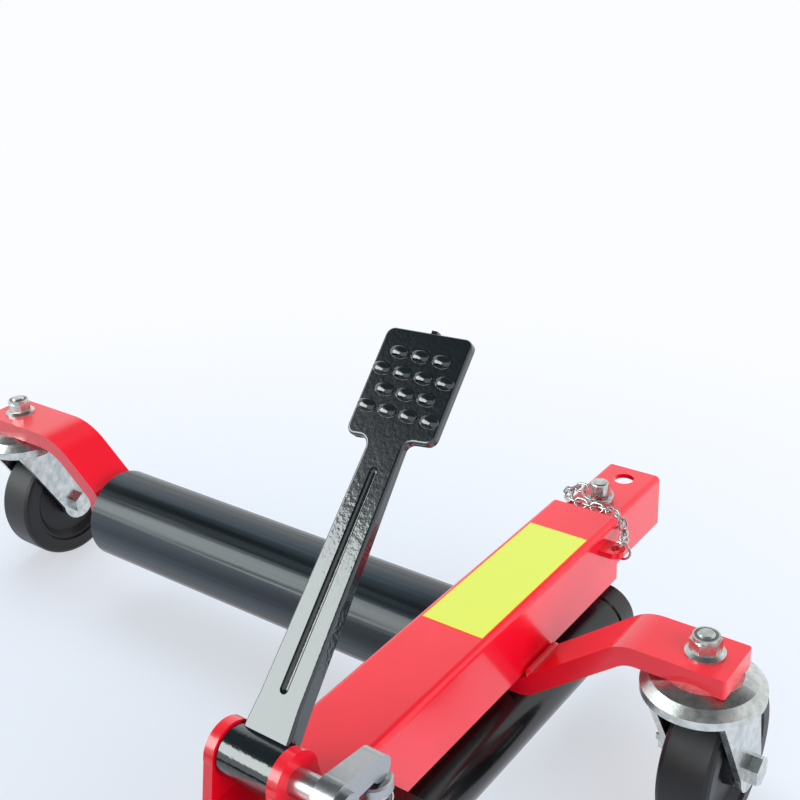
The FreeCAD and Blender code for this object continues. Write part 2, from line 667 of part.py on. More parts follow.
# The pulling ram: barrel, far cap, gland, piston and rod.
cyl_r = s.cyl_d / 2
bore_r = cyl_r - s.cyl_wall
barrel_far = cyl_end_y - s.cap_len
turned_y("ram_barrel", barrel_far, [
    (s.groove, bore_r), (s.groove, cyl_r - s.groove), (s.groove * 2, cyl_r),
    (s.cyl_len - s.groove, cyl_r),
    (s.cyl_len, cyl_r - s.groove), (s.cyl_len, bore_r),
])
turned_y("ram_end_cap", cyl_end_y, [
    (zero, zero), (zero, cyl_r - s.groove * 2), (s.groove * 2, cyl_r), (s.cap_len - s.groove, cyl_r),
    (s.cap_len, cyl_r - s.groove), (s.cap_len + s.groove, cyl_r - s.groove),
    (s.cap_len + s.groove, bore_r - s.fit * 2),
    (s.cap_len + s.spigot, bore_r - s.fit * 2), (s.cap_len + s.spigot, zero),
])
gland_y = barrel_far - s.cyl_len
rod_r = s.rod_d / 2
turned_y("ram_gland", gland_y, [
    (-s.spigot, rod_r + s.fit), (-s.spigot, bore_r - s.fit * 2), (zero, bore_r - s.fit * 2),
    (zero, cyl_r - s.groove),
    (s.groove, cyl_r), (s.gland_len - s.groove * 2, cyl_r), (s.gland_len, cyl_r - s.groove * 2),
    (s.gland_len, rod_r + s.fit),
])
piston_far = gland_y + s.spigot + s.stroke_room + s.piston_y + s.piston_len
turned_y("ram_piston", piston_far, [
    (zero, rod_r + s.fit), (zero, bore_r - s.groove), (s.groove, bore_r - s.fit),
    (s.piston_len / 3, bore_r - s.fit),
    (s.piston_len / 3, bore_r - s.groove), (s.piston_len / 2, bore_r - s.groove),
    (s.piston_len / 2, bore_r - s.fit),
    (s.piston_len - s.groove, bore_r - s.fit), (s.piston_len, bore_r - s.groove),
    (s.piston_len, rod_r + s.fit),
])
rod_end = sleeve_far - s.bracket_thick - s.rod_over
turned_y("ram_rod", piston_far + s.edge_break, [
    (zero, zero), (zero, rod_r - s.edge_break), (s.edge_break, rod_r),
    (piston_far + s.edge_break - rod_end - s.edge_break, rod_r),
    (piston_far + s.edge_break - rod_end, rod_r - s.edge_break),
    (piston_far + s.edge_break - rod_end, zero),
])
body = new_body("ram_bracket", ram_x, sleeve_far, zero)
sketch = new_sketch(body, "bracket_outline", "XZ_Plane")
wide = s.bracket_w / 2
add_rectangle(sketch, -wide, s.bracket_low, wide, under_z)
add_circle(sketch, zero, s.cyl_z, rod_r + s.fit)
pad(body, sketch, s.bracket_thick)
round_edges(body, 1, [(-wide, s.bracket_low), (wide, s.bracket_low)], s.bracket_corner)
# Two saddles that hang the barrel from the tube.
hangers = []
for name, back in (("hanger_far", s.hanger_far), ("hanger_near", s.hanger_near)):
    body = new_body(name, ram_x, s.tube_end_y - back, zero, keep=False)
    sketch = new_sketch(body, name + "_outline", "XZ_Plane")
    left = -s.cyl_x - s.hanger_side
    add_rectangle(sketch, left, s.hanger_low, left + s.hanger_w, under_z)
    pad(body, sketch, s.hanger_len, both=True)
    sketch = new_sketch(body, name + "_seat", "XZ_Plane")
    add_circle(sketch, zero, s.cyl_z, cyl_r + s.fit * 2)
    pocket(body, sketch, s.hanger_len * 2, both=True)
    hangers.append(body)
group("ram_hangers", hangers)

# Pedal cheeks on the tube, the crank shaft through them and the cast pedal.
cheeks = []
for side, offset in (("left", -s.cheek_in - s.cheek_thick), ("right", s.cheek_in)):
    body = new_body("pedal_cheek_" + side, s.tube_x, pedal_y, zero, keep=False)
    sketch = new_sketch(body, "cheek_outline_" + side, "YZ_Plane", offset)
    half = s.cheek_len / 2
    add_polygon(
        sketch, [(-half, s.top_z), (half, s.top_z), (s.cheek_r, s.pedal_z), (-s.cheek_r, s.pedal_z)])
    pad(body, sketch, s.cheek_thick)
    sketch = new_sketch(body, "cheek_head_" + side, "YZ_Plane", offset)
    add_circle(sketch, zero, s.pedal_z, s.cheek_r)
    pad(body, sketch, s.cheek_thick)
    sketch = new_sketch(body, "cheek_hole_" + side, "YZ_Plane")
    add_circle(sketch, zero, s.pedal_z, s.pedal_shaft / 2 + s.fit)
    pocket(body, sketch, s.cheek_in * 4, both=True)
    cheeks.append(body)
group("pedal_cheeks", cheeks)

body = new_body("pedal_crank", s.tube_x, pedal_y, s.pedal_z)
sketch = new_sketch(body, "crank_shaft", "YZ_Plane", -s.shaft_left)
add_circle(sketch, zero, zero, s.pedal_shaft / 2)
pad(body, sketch, s.shaft_left + s.shaft_right)
sketch = new_sketch(body, "crank_hub", "YZ_Plane", s.crank_in)
add_circle(sketch, zero, zero, s.crank_hub_r)
pad(body, sketch, s.crank_thick)
sketch = new_sketch(body, "crank_web", "YZ_Plane", s.crank_in)
add_polygon(
    sketch,
    [(zero, -s.nose_r / 2), (s.crank_reach, -s.nose_r / 2), (s.crank_reach, s.nose_r),
    (zero, s.crank_hub_r)])
pad(body, sketch, s.crank_thick)
sketch = new_sketch(body, "crank_nose", "YZ_Plane", s.crank_in)
add_circle(sketch, s.crank_reach, zero, s.nose_r)
pad(body, sketch, s.crank_thick)

lever = new_body("pedal_lever", s.tube_x, pedal_y, s.pedal_z)
lever.Placement = FreeCAD.Placement(
    lever.Placement.Base, FreeCAD.Rotation(V(1, 0, 0), s.pedal_lean.number))
lever.setExpression("Placement.Rotation.Angle", s.pedal_lean.text)
front = s.arm_thick / 2
sketch = new_sketch(lever, "pedal_arm", "XY_Plane", -front)
add_polygon(sketch, [
    (-s.arm_root_w / 2, zero), (s.arm_root_w / 2, zero), (s.arm_root_w / 2, s.arm_root_y),
    (s.arm_low_w / 2, s.arm_low_y),
    (s.arm_high_w / 2, s.arm_high_y), (s.arm_high_w / 2, s.pad_y + s.pad_round),
    (-s.arm_high_w / 2, s.pad_y + s.pad_round),
    (-s.arm_high_w / 2, s.arm_high_y), (-s.arm_low_w / 2, s.arm_low_y),
    (-s.arm_root_w / 2, s.arm_root_y),
])
pad(lever, sketch, s.arm_thick)
half = s.pad_w / 2
pad_end = s.pad_y + s.pad_len
sketch = new_sketch(lever, "pedal_pad", "XY_Plane", front - s.pad_thick)
pad_corners = [
    (-half, s.pad_y - s.pad_skew_low), (half, s.pad_y + s.pad_skew_low),
    (half, pad_end + s.pad_skew_top), (-half, pad_end - s.pad_skew_top),
]
add_polygon(sketch, pad_corners)
pad(lever, sketch, s.pad_thick)
sketch = new_sketch(lever, "pedal_taper", "YZ_Plane")
pad_back = front - s.pad_thick
arm_end = s.pad_y + s.pad_round
add_polygon(sketch, [(s.arm_low_y, -front), (arm_end, -front), (arm_end, pad_back)])
pocket(lever, sketch, s.pad_w, both=True)
round_edges(lever, 2, pad_corners, s.pad_round)
neck = s.arm_high_w / 2
neck_rise = s.pad_skew_low * s.arm_high_w / s.pad_w
round_edges(lever, 2, [(-neck, s.pad_y - neck_rise), (neck, s.pad_y + neck_rise)], s.neck_round)
names = []
for number, edge in enumerate(lever.Tip.Shape.Edges, 1):
    ends = [v.Point for v in edge.Vertexes]
    on_front = all(abs(p.z - front.number) < 1e-6 for p in ends)
    at_hub = all(abs(p.y) < 1e-3 for p in ends)
    if on_front and not at_hub and (ends[0] - ends[-1]).Length > 1e-3:
        names.append("Edge%d" % number)
dress(lever, "Fillet", names, s.pad_edge)
sketch = new_sketch(lever, "pedal_hub", "YZ_Plane")
add_circle(sketch, zero, zero, s.hub_r)
pad(lever, sketch, s.hub_wide, both=True)
sketch = new_sketch(lever, "pedal_bore", "YZ_Plane")
add_circle(sketch, zero, zero, s.pedal_shaft / 2 + s.fit)
pocket(lever, sketch, s.hub_wide * 2, both=True)
sketch = new_sketch(lever, "pedal_groove", "XZ_Plane", -s.slot_low_y)
add_circle(sketch, zero, front, s.slot_w / 2)
pocket(lever, sketch, s.slot_high_y - s.slot_low_y)
for slot_end in (s.slot_low_y, s.slot_high_y):
    ball = lever.newObject("PartDesign::SubtractiveSphere", "pedal_groove_end")
    ball.AttachmentSupport = [(plane(lever, "XY_Plane"), "")]
    ball.MapMode = "FlatFace"
    ball.Radius = (s.slot_w / 2).number
    ball.setExpression("Radius", (s.slot_w / 2).text)
    ball.AttachmentOffset = FreeCAD.Placement(V(0, slot_end.number, front.number), FreeCAD.Rotation())
    for axis, value in zip("yz", (slot_end, front)):
        ball.setExpression("AttachmentOffset.Base." + axis, value.text)
    doc.recompute()
sketch = new_sketch(lever, "pedal_nub", "XY_Plane", front - s.pad_thick)
add_rectangle(sketch, zero, pad_end - s.pad_round, s.nub_w, pad_end + s.nub_h)
pad(lever, sketch, s.pad_thick * 0.8)


def dome(name, across, along, long, wide, high):
    """Half an ellipsoid standing on the pad's front face."""
    shape = lever.newObject("PartDesign::AdditiveEllipsoid", name)
    shape.AttachmentSupport = [(plane(lever, "XY_Plane"), "")]
    shape.MapMode = "FlatFace"
    for word, value in (("Radius1", high), ("Radius2", long), ("Radius3", wide)):
        setattr(shape, word, value.number)
        shape.setExpression(word, value.text)
    shape.AttachmentOffset = FreeCAD.Placement(
        V(across.number, along.number, front.number), FreeCAD.Rotation())
    for axis, value in zip("xyz", (across, along, front)):
        shape.setExpression("AttachmentOffset.Base." + axis, value.text)


# Rows of grip bumps, each cut off steeply on its lower side down to a low lip.
for row, count in enumerate((3, 4, 3, 4)):
    along = pad_end - s.bump_first - s.bump_row * row
    for column in range(count):
        across = s.bump_step * (column - (count - 1) / 2)
        dome("pedal_bump_%d_%d" % (row, column), across, along, s.bump_long, s.bump_wide, s.bump_high)
    doc.recompute()
    sketch = new_sketch(lever, "pedal_bump_flats_%d" % row, "YZ_Plane")
    foot = along - s.bump_low
    below = along - s.bump_row / 2
    crest = front + s.bump_high
    ledge = front + s.lip_high
    add_polygon(sketch, [(foot, ledge), (foot + s.bump_lean, crest), (below, crest), (below, ledge)])
    pocket(lever, sketch, s.pad_w * 2, both=True)
doc.recompute()

# The pump on the tube's right side, its screws, plunger, spring, tank, valve and pipe.
pump_left = s.tube_x + s.pump_x
body = new_body("pump_block", pump_left, pump_y, zero)
sketch = new_sketch(body, "pump_outline", "YZ_Plane")
add_rectangle(sketch, zero, s.pump_low, s.pump_len, s.pump_top)
pad(body, sketch, s.pump_w)
round_edges(body, 2, [(s.pump_w, zero), (s.pump_w, s.pump_len)], s.pump_edge)
plunger_y = pedal_y + s.crank_reach
sketch = new_sketch(body, "pump_bore", "XY_Plane", s.pump_top)
add_circle(sketch, s.plunger_x - s.pump_x, plunger_y - pump_y, s.plunger_d / 2 + s.fit)
pocket(body, sketch, s.bore_deep)
sketch = new_sketch(body, "pump_screw_bores", "YZ_Plane")
for bolt_y in bolt_ys:
    add_circle(sketch, bolt_y - pump_y, bolt_z, s.bolt_d / 2 + s.fit)
pocket(body, sketch, s.pump_w * 3, both=True)
sketch = new_sketch(body, "pump_valve_bore", "YZ_Plane", s.pump_w)
add_circle(sketch, s.valve_ahead, s.valve_z - s.bolt_d / 2, s.valve_d / 2 + s.fit)
pocket(body, sketch, s.valve_in)

screws = []
for number, bolt_y in enumerate(bolt_ys):
    name = "pump_screw_%d" % number
    screw = new_body(name, pump_left + s.pump_w, bolt_y, bolt_z, keep=False)
    sketch = new_sketch(screw, name + "_half", "XZ_Plane")
    deep = -s.pump_w - s.tube_wall
    add_polygon(sketch, [
        (deep, zero), (deep, s.bolt_d / 2 - s.edge_break), (deep + s.edge_break, s.bolt_d / 2),
        (zero, s.bolt_d / 2),
        (zero, s.bolt_head_d / 2), (s.bolt_head_h - s.edge_break, s.bolt_head_d / 2),
        (s.bolt_head_h, s.bolt_head_d / 2 - s.edge_break), (s.bolt_head_h, zero),
    ])
    revolve(screw, sketch, "H_Axis")
    sketch = new_sketch(screw, name + "_key", "YZ_Plane", s.bolt_head_h)
    add_hexagon(sketch, s.bolt_key)
    pocket(screw, sketch, s.bolt_head_h / 2)
    screws.append(screw)
group("pump_screws", screws)

head_top = s.pedal_z - s.nose_r - s.gap
body = new_body("pump_plunger", s.tube_x + s.plunger_x, plunger_y, zero)
sketch = new_sketch(body, "plunger_half", "XZ_Plane")
plunger_low = s.pump_top - s.plunger_in
pl_r = s.plunger_d / 2
add_polygon(sketch, [
    (zero, plunger_low), (pl_r - s.edge_break, plunger_low), (pl_r, plunger_low + s.edge_break),
    (pl_r, head_top - s.head_h),
    (s.head_d / 2, head_top - s.head_h), (s.head_d / 2, head_top - s.edge_break),
    (s.head_d / 2 - s.edge_break, head_top),
    (zero, head_top),
])
revolve(body, sketch, "V_Axis")


def coil(radius, wire, low, high, turns):
    """One unbroken round wire wound upright about its own axis, as quarter-turn arcs."""
    steps = turns * 4
    rise = (high - low) / steps
    edges = []
    for i in range(steps):
        points = []
        for part in (0, 0.5, 1):
            angle = math.pi / 2 * (i + part)
            points.append(
                V(radius * math.cos(angle), radius * math.sin(angle), low + rise * (i + part)))
        edges.append(Part.Arc(*points).toShape())
    path = Part.Wire(edges)
    start = V(radius, 0, low)
    profile = Part.Wire(
        [Part.makeCircle(wire / 2, start, path.Edges[0].tangentAt(path.Edges[0].FirstParameter))])
    solid = path.makePipeShell([profile], True, False)
    lean = (high - low) / turns
    across = math.hypot(1, lean / (2 * math.pi * radius))
    print("spring least gap between turns", round(lean / across - wire, 3))
    return solid


wire = s.spring_wire.number
spring = coil(
    s.spring_d.number / 2, wire, s.pump_top.number + wire / 2 + s.fit.number,
    head_top.number - s.head_h.number - wire / 2 - s.fit.number, 5,
)
node = coded("pump_spring", spring)
node.Placement = FreeCAD.Placement(
    V((s.tube_x + s.plunger_x).number, plunger_y.number, 0), FreeCAD.Rotation())

body = new_body("pump_tank", s.tube_x + s.plunger_x, pump_y, s.tank_z)
sketch = new_sketch(body, "tank_section", "XZ_Plane")
add_circle(sketch, zero, zero, s.tank_d / 2)
pad(body, sketch, s.tank_len)
solid = body.Tip.Shape
rims = end_circles(body, 1, s.tank_d / 2)
names = [n for n in rims if solid.getElement(n).BoundBox.YMax < -s.tank_len.number / 2]
dress(body, "Fillet", names, s.tank_edge)
sketch = new_sketch(body, "tank_filler", "XY_Plane")
add_circle(sketch, zero, -s.tank_len / 2, s.tank_plug_d / 2)
pad(body, sketch, s.tank_d / 2 + s.tank_plug_h)

stem = new_body("release_valve", pump_left + s.pump_w, pump_y + s.valve_ahead, s.valve_z - s.bolt_d / 2)
sketch = new_sketch(stem, "stem_half", "XZ_Plane")
stem_r = s.valve_d / 2
deep = -s.valve_in + s.edge_break
add_polygon(sketch, [
    (deep, zero), (deep, stem_r - s.edge_break), (deep + s.edge_break, stem_r), (s.gap, stem_r),
    (s.gap, stem_r + s.edge_break * 2),
    (s.gap + s.edge_break * 3, stem_r + s.edge_break * 2), (s.gap + s.edge_break * 3, stem_r),
    (s.valve_out, stem_r), (s.valve_out, zero),
])
revolve(stem, sketch, "H_Axis")
sketch = new_sketch(stem, "valve_cross", "XY_Plane")
add_circle(sketch, s.valve_out - stem_r, zero, s.valve_bar_d / 2)
pad(stem, sketch, s.valve_bar, both=True)


def bent_pipe(x, y, top, bottom, reach, bend, radius, collar_r, collar_len):
    """A pipe that drops, bends once and runs to the left, with a union at each end."""
    corner = V(x, y, bottom)
    a = V(x, y, bottom + bend)
    b = V(x - bend, y, bottom)
    middle = corner + V(-bend, 0, bend) + V(bend, 0, -bend) * math.sqrt(0.5)
    bend = Part.Arc(a, middle, b).toShape()
    edges = [Part.makeLine(V(x, y, top), a), bend, Part.makeLine(b, V(reach, y, bottom))]
    path = Part.Wire(edges)
    profile = Part.Wire([Part.makeCircle(radius, V(x, y, top), V(0, 0, 1))])
    pipe = path.makePipeShell([profile], True, False)
    upper = Part.makeCylinder(collar_r, collar_len, V(x, y, top - collar_len), V(0, 0, 1))
    side = Part.makeCylinder(collar_r, collar_len, V(reach, y, bottom), V(1, 0, 0))
    return pipe.fuse([upper, side]).removeSplitter()


side_x = (ram_x + cyl_r + s.fit * 2).number
coded("pressure_pipe", bent_pipe(
    (s.tube_x + s.pipe_x).number, (pump_y + s.pipe_in).number, (s.pump_low - s.fit).number,
    s.cyl_z.number, side_x,
    s.pipe_bend.number, s.pipe_d.number / 2, s.union_d.number / 2, s.union_len.number,
))

# A plain decal on the tube's top face.
body = new_body("blank_decal", s.tube_x, s.tube_end_y - s.decal_start, s.top_z)
sketch = new_sketch(body, "decal_outline", "XY_Plane")
add_rectangle(sketch, -s.decal_w / 2, -s.decal_len, s.decal_w / 2, zero)
pad(body, sketch, s.decal_thick)

# The eye on the tube's right face for the chain.
tab_y = s.tube_end_y - s.tab_back
tab_z = s.top_z - s.tab_down
body = new_body("chain_eye", s.tube_x + s.tube_w / 2, tab_y, tab_z)
sketch = new_sketch(body, "eye_root", "XY_Plane")
add_rectangle(sketch, zero, -s.tab_r, s.tab_out, s.tab_r)
pad(body, sketch, s.tab_thick, both=True)
sketch = new_sketch(body, "eye_round", "XY_Plane")
add_circle(sketch, s.tab_out, zero, s.tab_r)
pad(body, sketch, s.tab_thick, both=True)
sketch = new_sketch(body, "eye_hole", "XY_Plane")
add_circle(sketch, s.tab_out, zero, s.tab_hole / 2)
pocket(body, sketch, s.tab_thick * 3, both=True)

# The lock pin in the second hole of the sliding tube.
body = new_body("lock_pin", s.tube_x, pin_y, inner_top)
sketch = new_sketch(body, "pin_half", "XZ_Plane")
pin_r = s.lock_d / 2
tip = -s.inner_w - s.lock_down
add_polygon(sketch, [
    (zero, tip), (pin_r - s.lock_tip, tip), (pin_r, tip + s.lock_tip), (pin_r, zero),
    (s.lock_collar_d / 2, zero),
    (s.lock_collar_d / 2, s.lock_collar_h - s.edge_break),
    (s.lock_collar_d / 2 - s.edge_break, s.lock_collar_h),
    (s.lock_top_d / 2, s.lock_collar_h), (s.lock_top_d / 2, s.lock_up), (zero, s.lock_up),
])
revolve(body, sketch, "V_Axis")
rims = end_circles(body, 2, s.lock_top_d / 2)
solid = body.Tip.Shape
names = [n for n in rims if solid.getElement(n).BoundBox.ZMin > (s.lock_collar_h + s.gap).number]
dress(body, "Fillet", names, s.lock_round)


def link(center, along, across, half_long, half_wide, wire_r):
    """One oval wire link, its straight sides along one direction and its width along another."""
    straight = half_long - half_wide
    signs = [(1, 1), (-1, 1), (-1, -1), (1, -1)]
    a, b, c, d = [center + along * (straight * p) + across * (half_wide * q) for p, q in signs]
    left = center - along * half_long
    right = center + along * half_long
    far = Part.Arc(b, left, c).toShape()
    near = Part.Arc(d, right, a).toShape()
    path = Part.Wire([Part.makeLine(a, b), far, Part.makeLine(c, d), near])
    profile = Part.Wire([Part.makeCircle(wire_r, a, along)])
    return path.makePipeShell([profile], True, False)


def chain_links(points, pitch, first_turn, last_turn, half_long, half_wide, wire_r):
    """Links set along a smooth path, about a quarter turn apart, the end ones turned as told."""
    curve = Part.BSplineCurve()
    curve.interpolate(points)
    count = math.ceil(curve.length() / pitch)
    joints = curve.discretize(Number=count + 1)
    twist = (first_turn - last_turn - 90 * (count - 1) + 90) % 180 - 90
    side = V(0, 0, 1)
    solids = []
    for i in range(count):
        a, b = joints[i], joints[i + 1]
        along = (b - a).normalize()
        side = (side - along * side.dot(along)).normalize()
        ahead = count - 1 - i
        turn = FreeCAD.Rotation(along, last_turn + 90 * ahead + twist * ahead / (count - 1))
        solids.append(link((a + b) * 0.5, along, turn.multVec(side), half_long, half_wide, wire_r))
    return solids


# The pin's chain: a ring round the pin, links over the sliding tube and down to a ring in the eye.
# Its route, from the tube's far top edge, in shares of the tube's width. Both runs meet at the bend.
bend_share = (0.18, 0.124, -0.02)
over_shares = [
    (-0.335, 0.415, 0.025), (-0.405, 0.32, 0.0), (-0.375, 0.2, -0.015), (-0.23, 0.135, -0.02),
    (0.0, 0.124, -0.02),
]
down_shares = [
    (0.34, 0.12, -0.012), (0.465, 0.11, -0.064), (0.57, 0.02, -0.12), (0.65, -0.12, -0.14),
    (0.72, -0.26, -0.114),
]
wire_r = s.wire_d.number / 2
half_long = (s.link_pitch.number + s.wire_d.number + s.link_slack.number) / 2
half_wide = s.link_w.number / 2 - wire_r
corner = V(s.tube_x.number, s.tube_end_y.number, s.top_z.number)


def route(shares):
    return [corner + V(*share) * s.tube_w.number for share in shares]


big = s.tab_ring_r.number
rim_x = s.tube_x + s.tube_w / 2 + s.tab_out + (s.tab_hole / 2 + s.tab_r) / 2
eye_ring = V(rim_x.number, tab_y.number, (tab_z + s.tab_thick / 2).number)
hook = eye_ring + V(0, -wire_r - s.link_slack.number / 2, big)
pin_ring = s.pin_ring_r.number
tilt = math.radians(s.ring_tilt.number)
ring_z = (inner_top + s.lock_collar_h + s.gap).number + wire_r + pin_ring * math.sin(tilt)
ring_at = V((s.tube_x - s.wire_d).number, pin_y.number, ring_z)
leave = math.radians(s.ring_leave.number)
start = ring_at + V(
    -math.cos(leave), -math.sin(leave), math.sin(tilt) * math.cos(leave)) * (pin_ring - s.wire_d.number)
over = [start] + route(over_shares + [bend_share])
down = route([bend_share] + down_shares) + [hook]
upper = chain_links(over, s.link_pitch.number, 45, 135, half_long, half_wide, wire_r)
lower = chain_links(down, s.link_pitch.number, 45, 0, half_long, half_wide, wire_r)
upper.append(Part.makeTorus(pin_ring, wire_r, ring_at, V(math.sin(tilt), 0, math.cos(tilt))))
lower.append(Part.makeTorus(big, wire_r, eye_ring, V(0, 1, 0)))
coded("chain_upper", Part.makeCompound(upper))
coded("chain_lower", Part.makeCompound(lower))

doc.recompute()
bad = [o.Label for o in doc.Objects if "Invalid" in o.State or "Error" in o.State]
if bad:
    raise RuntimeError("not rebuilt: " + ", ".join(bad))
os.makedirs("parts", exist_ok=True)
for node in made:
    shape = node.Shape
    if shape.isNull() or not shape.isValid() or not shape.Solids:
        raise RuntimeError("no sound solid: " + node.Label)
    shape.exportStep("parts/%s.step" % node.Label)
print(len(made), "nodes written")
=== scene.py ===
"""Studio scene of a red hydraulic wheel dolly, dressed over its CAD frame."""

import json
import logging
import math
from dataclasses import dataclass
from enum import Enum
from typing import Any, Sequence

import bpy
import numpy as np
from mathutils import Matrix, Vector


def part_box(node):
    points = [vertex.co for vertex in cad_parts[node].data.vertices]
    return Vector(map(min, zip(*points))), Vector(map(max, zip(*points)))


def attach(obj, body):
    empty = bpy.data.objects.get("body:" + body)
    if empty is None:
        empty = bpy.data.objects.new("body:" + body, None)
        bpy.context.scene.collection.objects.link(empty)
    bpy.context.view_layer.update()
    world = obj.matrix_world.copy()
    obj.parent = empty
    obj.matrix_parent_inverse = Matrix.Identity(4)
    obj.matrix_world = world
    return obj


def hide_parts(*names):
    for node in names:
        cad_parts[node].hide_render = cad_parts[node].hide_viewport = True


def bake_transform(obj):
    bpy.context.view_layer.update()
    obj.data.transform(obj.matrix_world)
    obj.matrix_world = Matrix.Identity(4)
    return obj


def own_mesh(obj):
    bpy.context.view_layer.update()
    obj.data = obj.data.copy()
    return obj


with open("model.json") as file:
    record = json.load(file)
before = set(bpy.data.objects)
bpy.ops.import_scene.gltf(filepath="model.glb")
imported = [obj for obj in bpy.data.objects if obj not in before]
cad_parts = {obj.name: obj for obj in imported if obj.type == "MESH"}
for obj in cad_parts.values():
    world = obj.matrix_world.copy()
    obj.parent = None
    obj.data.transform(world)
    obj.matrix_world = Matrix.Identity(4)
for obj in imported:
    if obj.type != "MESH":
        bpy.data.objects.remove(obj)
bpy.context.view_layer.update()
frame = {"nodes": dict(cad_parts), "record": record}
LOG = logging.getLogger("dolly")
MM = 0.001
QUARTER_DEG = 90
# Sockets of the Mix node when it mixes colours.
MIX_FIRST = 6
MIX_SECOND = 7
MIX_RESULT = 2
# Vertices and faces of one mesh, and a route's points as shares of the tube's width.
Shell = tuple[np.ndarray, np.ndarray]
Shares = tuple[tuple[float, float, float], ...]


class Coat(Enum):
    """The finishes that the dolly's pieces wear."""

    RED = "red_enamel"
    ROLLER = "black_roller"
    PLUG = "roller_plug_plastic"
    STEEL = "bright_steel"
    CHROME = "rod_chrome"
    BLACK = "black_enamel"
    CASTING = "black_casting"
    ZINC = "zinc"
    NYLON = "lock_nylon"
    DECAL = "decal_film"
    TREAD = "castor_tread"


def linear(code: str) -> tuple[float, float, float, float]:
    """Turns an sRGB hex colour into linear light.

    Args:
        code: the colour as #RRGGBB.

    Returns:
        Red, green, blue and a full alpha.
    """
    values = [int(code[i:i + 2], 16) / 255 for i in (1, 3, 5)]
    red, green, blue = [v / 12.92 if v <= 0.04045 else ((v + 0.055) / 1.055) ** 2.4 for v in values]
    return red, green, blue, 1.0


def add_node(tree: bpy.types.NodeTree, kind: str, settings: dict[str, Any] | None = None,
             links: dict[str | int, Any] | None = None) -> bpy.types.Node:
    """Adds one node with its settings and links.

    Args:
        tree: the node tree.
        kind: Blender's name for the node.
        settings: attributes, or input values where the word names an input.
        links: input name or number to the socket or value that feeds it.

    Returns:
        The new node.
    """
    node = tree.nodes.new(kind)
    for word, value in (settings or {}).items():
        if hasattr(node, word):
            setattr(node, word, value)
        else:
            node.inputs[word].default_value = value
    for word, source in (links or {}).items():
        if isinstance(source, bpy.types.NodeSocket):
            tree.links.new(source, node.inputs[word])
        else:
            node.inputs[word].default_value = source
    return node


def new_material(name: str) -> tuple[bpy.types.Material, bpy.types.NodeTree, bpy.types.NodeSocket]:
    """Starts an empty material.

    Args:
        name: the material's name.

    Returns:
        The material, its node tree and the surface socket of its output.
    """
    material = bpy.data.materials.new(name)
    material.use_nodes = True
    tree = material.node_tree
    tree.nodes.clear()
    out = add_node(tree, "ShaderNodeOutputMaterial")
    return material, tree, out.inputs["Surface"]


def per_metre(size_mm: float) -> float:
    """The scale that makes a texture repeat about once in a real size in millimetres."""
    return 1.0 / (size_mm * MM)


@dataclass(frozen=True)
class Finish:
    """A coat on metal or a moulded surface, with fine unevenness in gloss and height, and a second colour
    in noise patches: random tone on most coats, painted reflection streaks on the roller.
    """

    name: str
    colour: str
    roughness: float
    metallic: float = 0.0
    coat: float = 0.0
    coat_roughness: float = 0.05
    ior: float = 1.5
    gloss_grain_mm: float = 18.0
    gloss_spread: float = 0.06
    gloss_detail: float = 4.0
    least_roughness: float = 0.02
    bump_mm: float = 1.2
    bump_height_mm: float = 0.0
    bump_detail: float = 2.0
    stretch: tuple[float, float, float] = (1.0, 1.0, 1.0)
    tone_and_sheen: str = ""
    tone_and_sheen_mm: float = 25.0
    tone_and_sheen_detail: float = 3.0
    tone_and_sheen_from: float = 0.35
    tone_and_sheen_to: float = 0.65

    def make(self) -> bpy.types.Material:
        """Builds the material.

        Returns:
            The procedural material, on Object coordinates.
        """
        material, tree, surface = new_material(self.name)
        shader = add_node(tree, "ShaderNodeBsdfPrincipled", {
            "Base Color": linear(self.colour),
            "Roughness": self.roughness,
            "Metallic": self.metallic,
            "Coat Weight": self.coat,
            "Coat Roughness": self.coat_roughness,
        })
        if not self.metallic:
            shader.inputs["IOR"].default_value = self.ior
        tree.links.new(shader.outputs["BSDF"], surface)
        place = add_node(tree, "ShaderNodeTexCoord")
        mapping = add_node(tree, "ShaderNodeMapping", {"Scale": self.stretch},
                           {"Vector": place.outputs["Object"]})
        grain = {"Vector": mapping.outputs["Vector"]}
        gloss = add_node(tree, "ShaderNodeTexNoise", {
            "Scale": per_metre(self.gloss_grain_mm),
            "Detail": self.gloss_detail,
        }, grain)
        spread = add_node(tree, "ShaderNodeMapRange", {
            "To Min": max(self.least_roughness, self.roughness - self.gloss_spread),
            "To Max": self.roughness + self.gloss_spread,
        }, {"Value": gloss.outputs["Fac"]})
        tree.links.new(spread.outputs["Result"], shader.inputs["Roughness"])
        # Second colour mixed in by noise: random tone, and on the roller painted reflection streaks.
        if self.tone_and_sheen:
            tone_and_sheen_noise = add_node(tree, "ShaderNodeTexNoise", {
                "Scale": per_metre(self.tone_and_sheen_mm),
                "Detail": self.tone_and_sheen_detail,
            }, grain)
            tone_and_sheen_mask = add_node(tree, "ShaderNodeMapRange", {
                "From Min": self.tone_and_sheen_from,
                "From Max": self.tone_and_sheen_to,
            }, {"Value": tone_and_sheen_noise.outputs["Fac"]})
            mix = add_node(tree, "ShaderNodeMix", {"data_type": "RGBA"}, {
                "Factor": tone_and_sheen_mask.outputs["Result"],
                MIX_FIRST: linear(self.colour),
                MIX_SECOND: linear(self.tone_and_sheen),
            })
            tree.links.new(mix.outputs[MIX_RESULT], shader.inputs["Base Color"])
        if self.bump_height_mm:
            skin = add_node(tree, "ShaderNodeTexNoise", {
                "Scale": per_metre(self.bump_mm),
                "Detail": self.bump_detail,
            }, grain)
            bump = add_node(tree, "ShaderNodeBump", {
                "Strength": 1.0,
                "Distance": self.bump_height_mm * MM,
            }, {"Height": skin.outputs["Fac"]})
            tree.links.new(bump.outputs["Normal"], shader.inputs["Normal"])
            tree.links.new(bump.outputs["Normal"], shader.inputs["Coat Normal"])
        return material


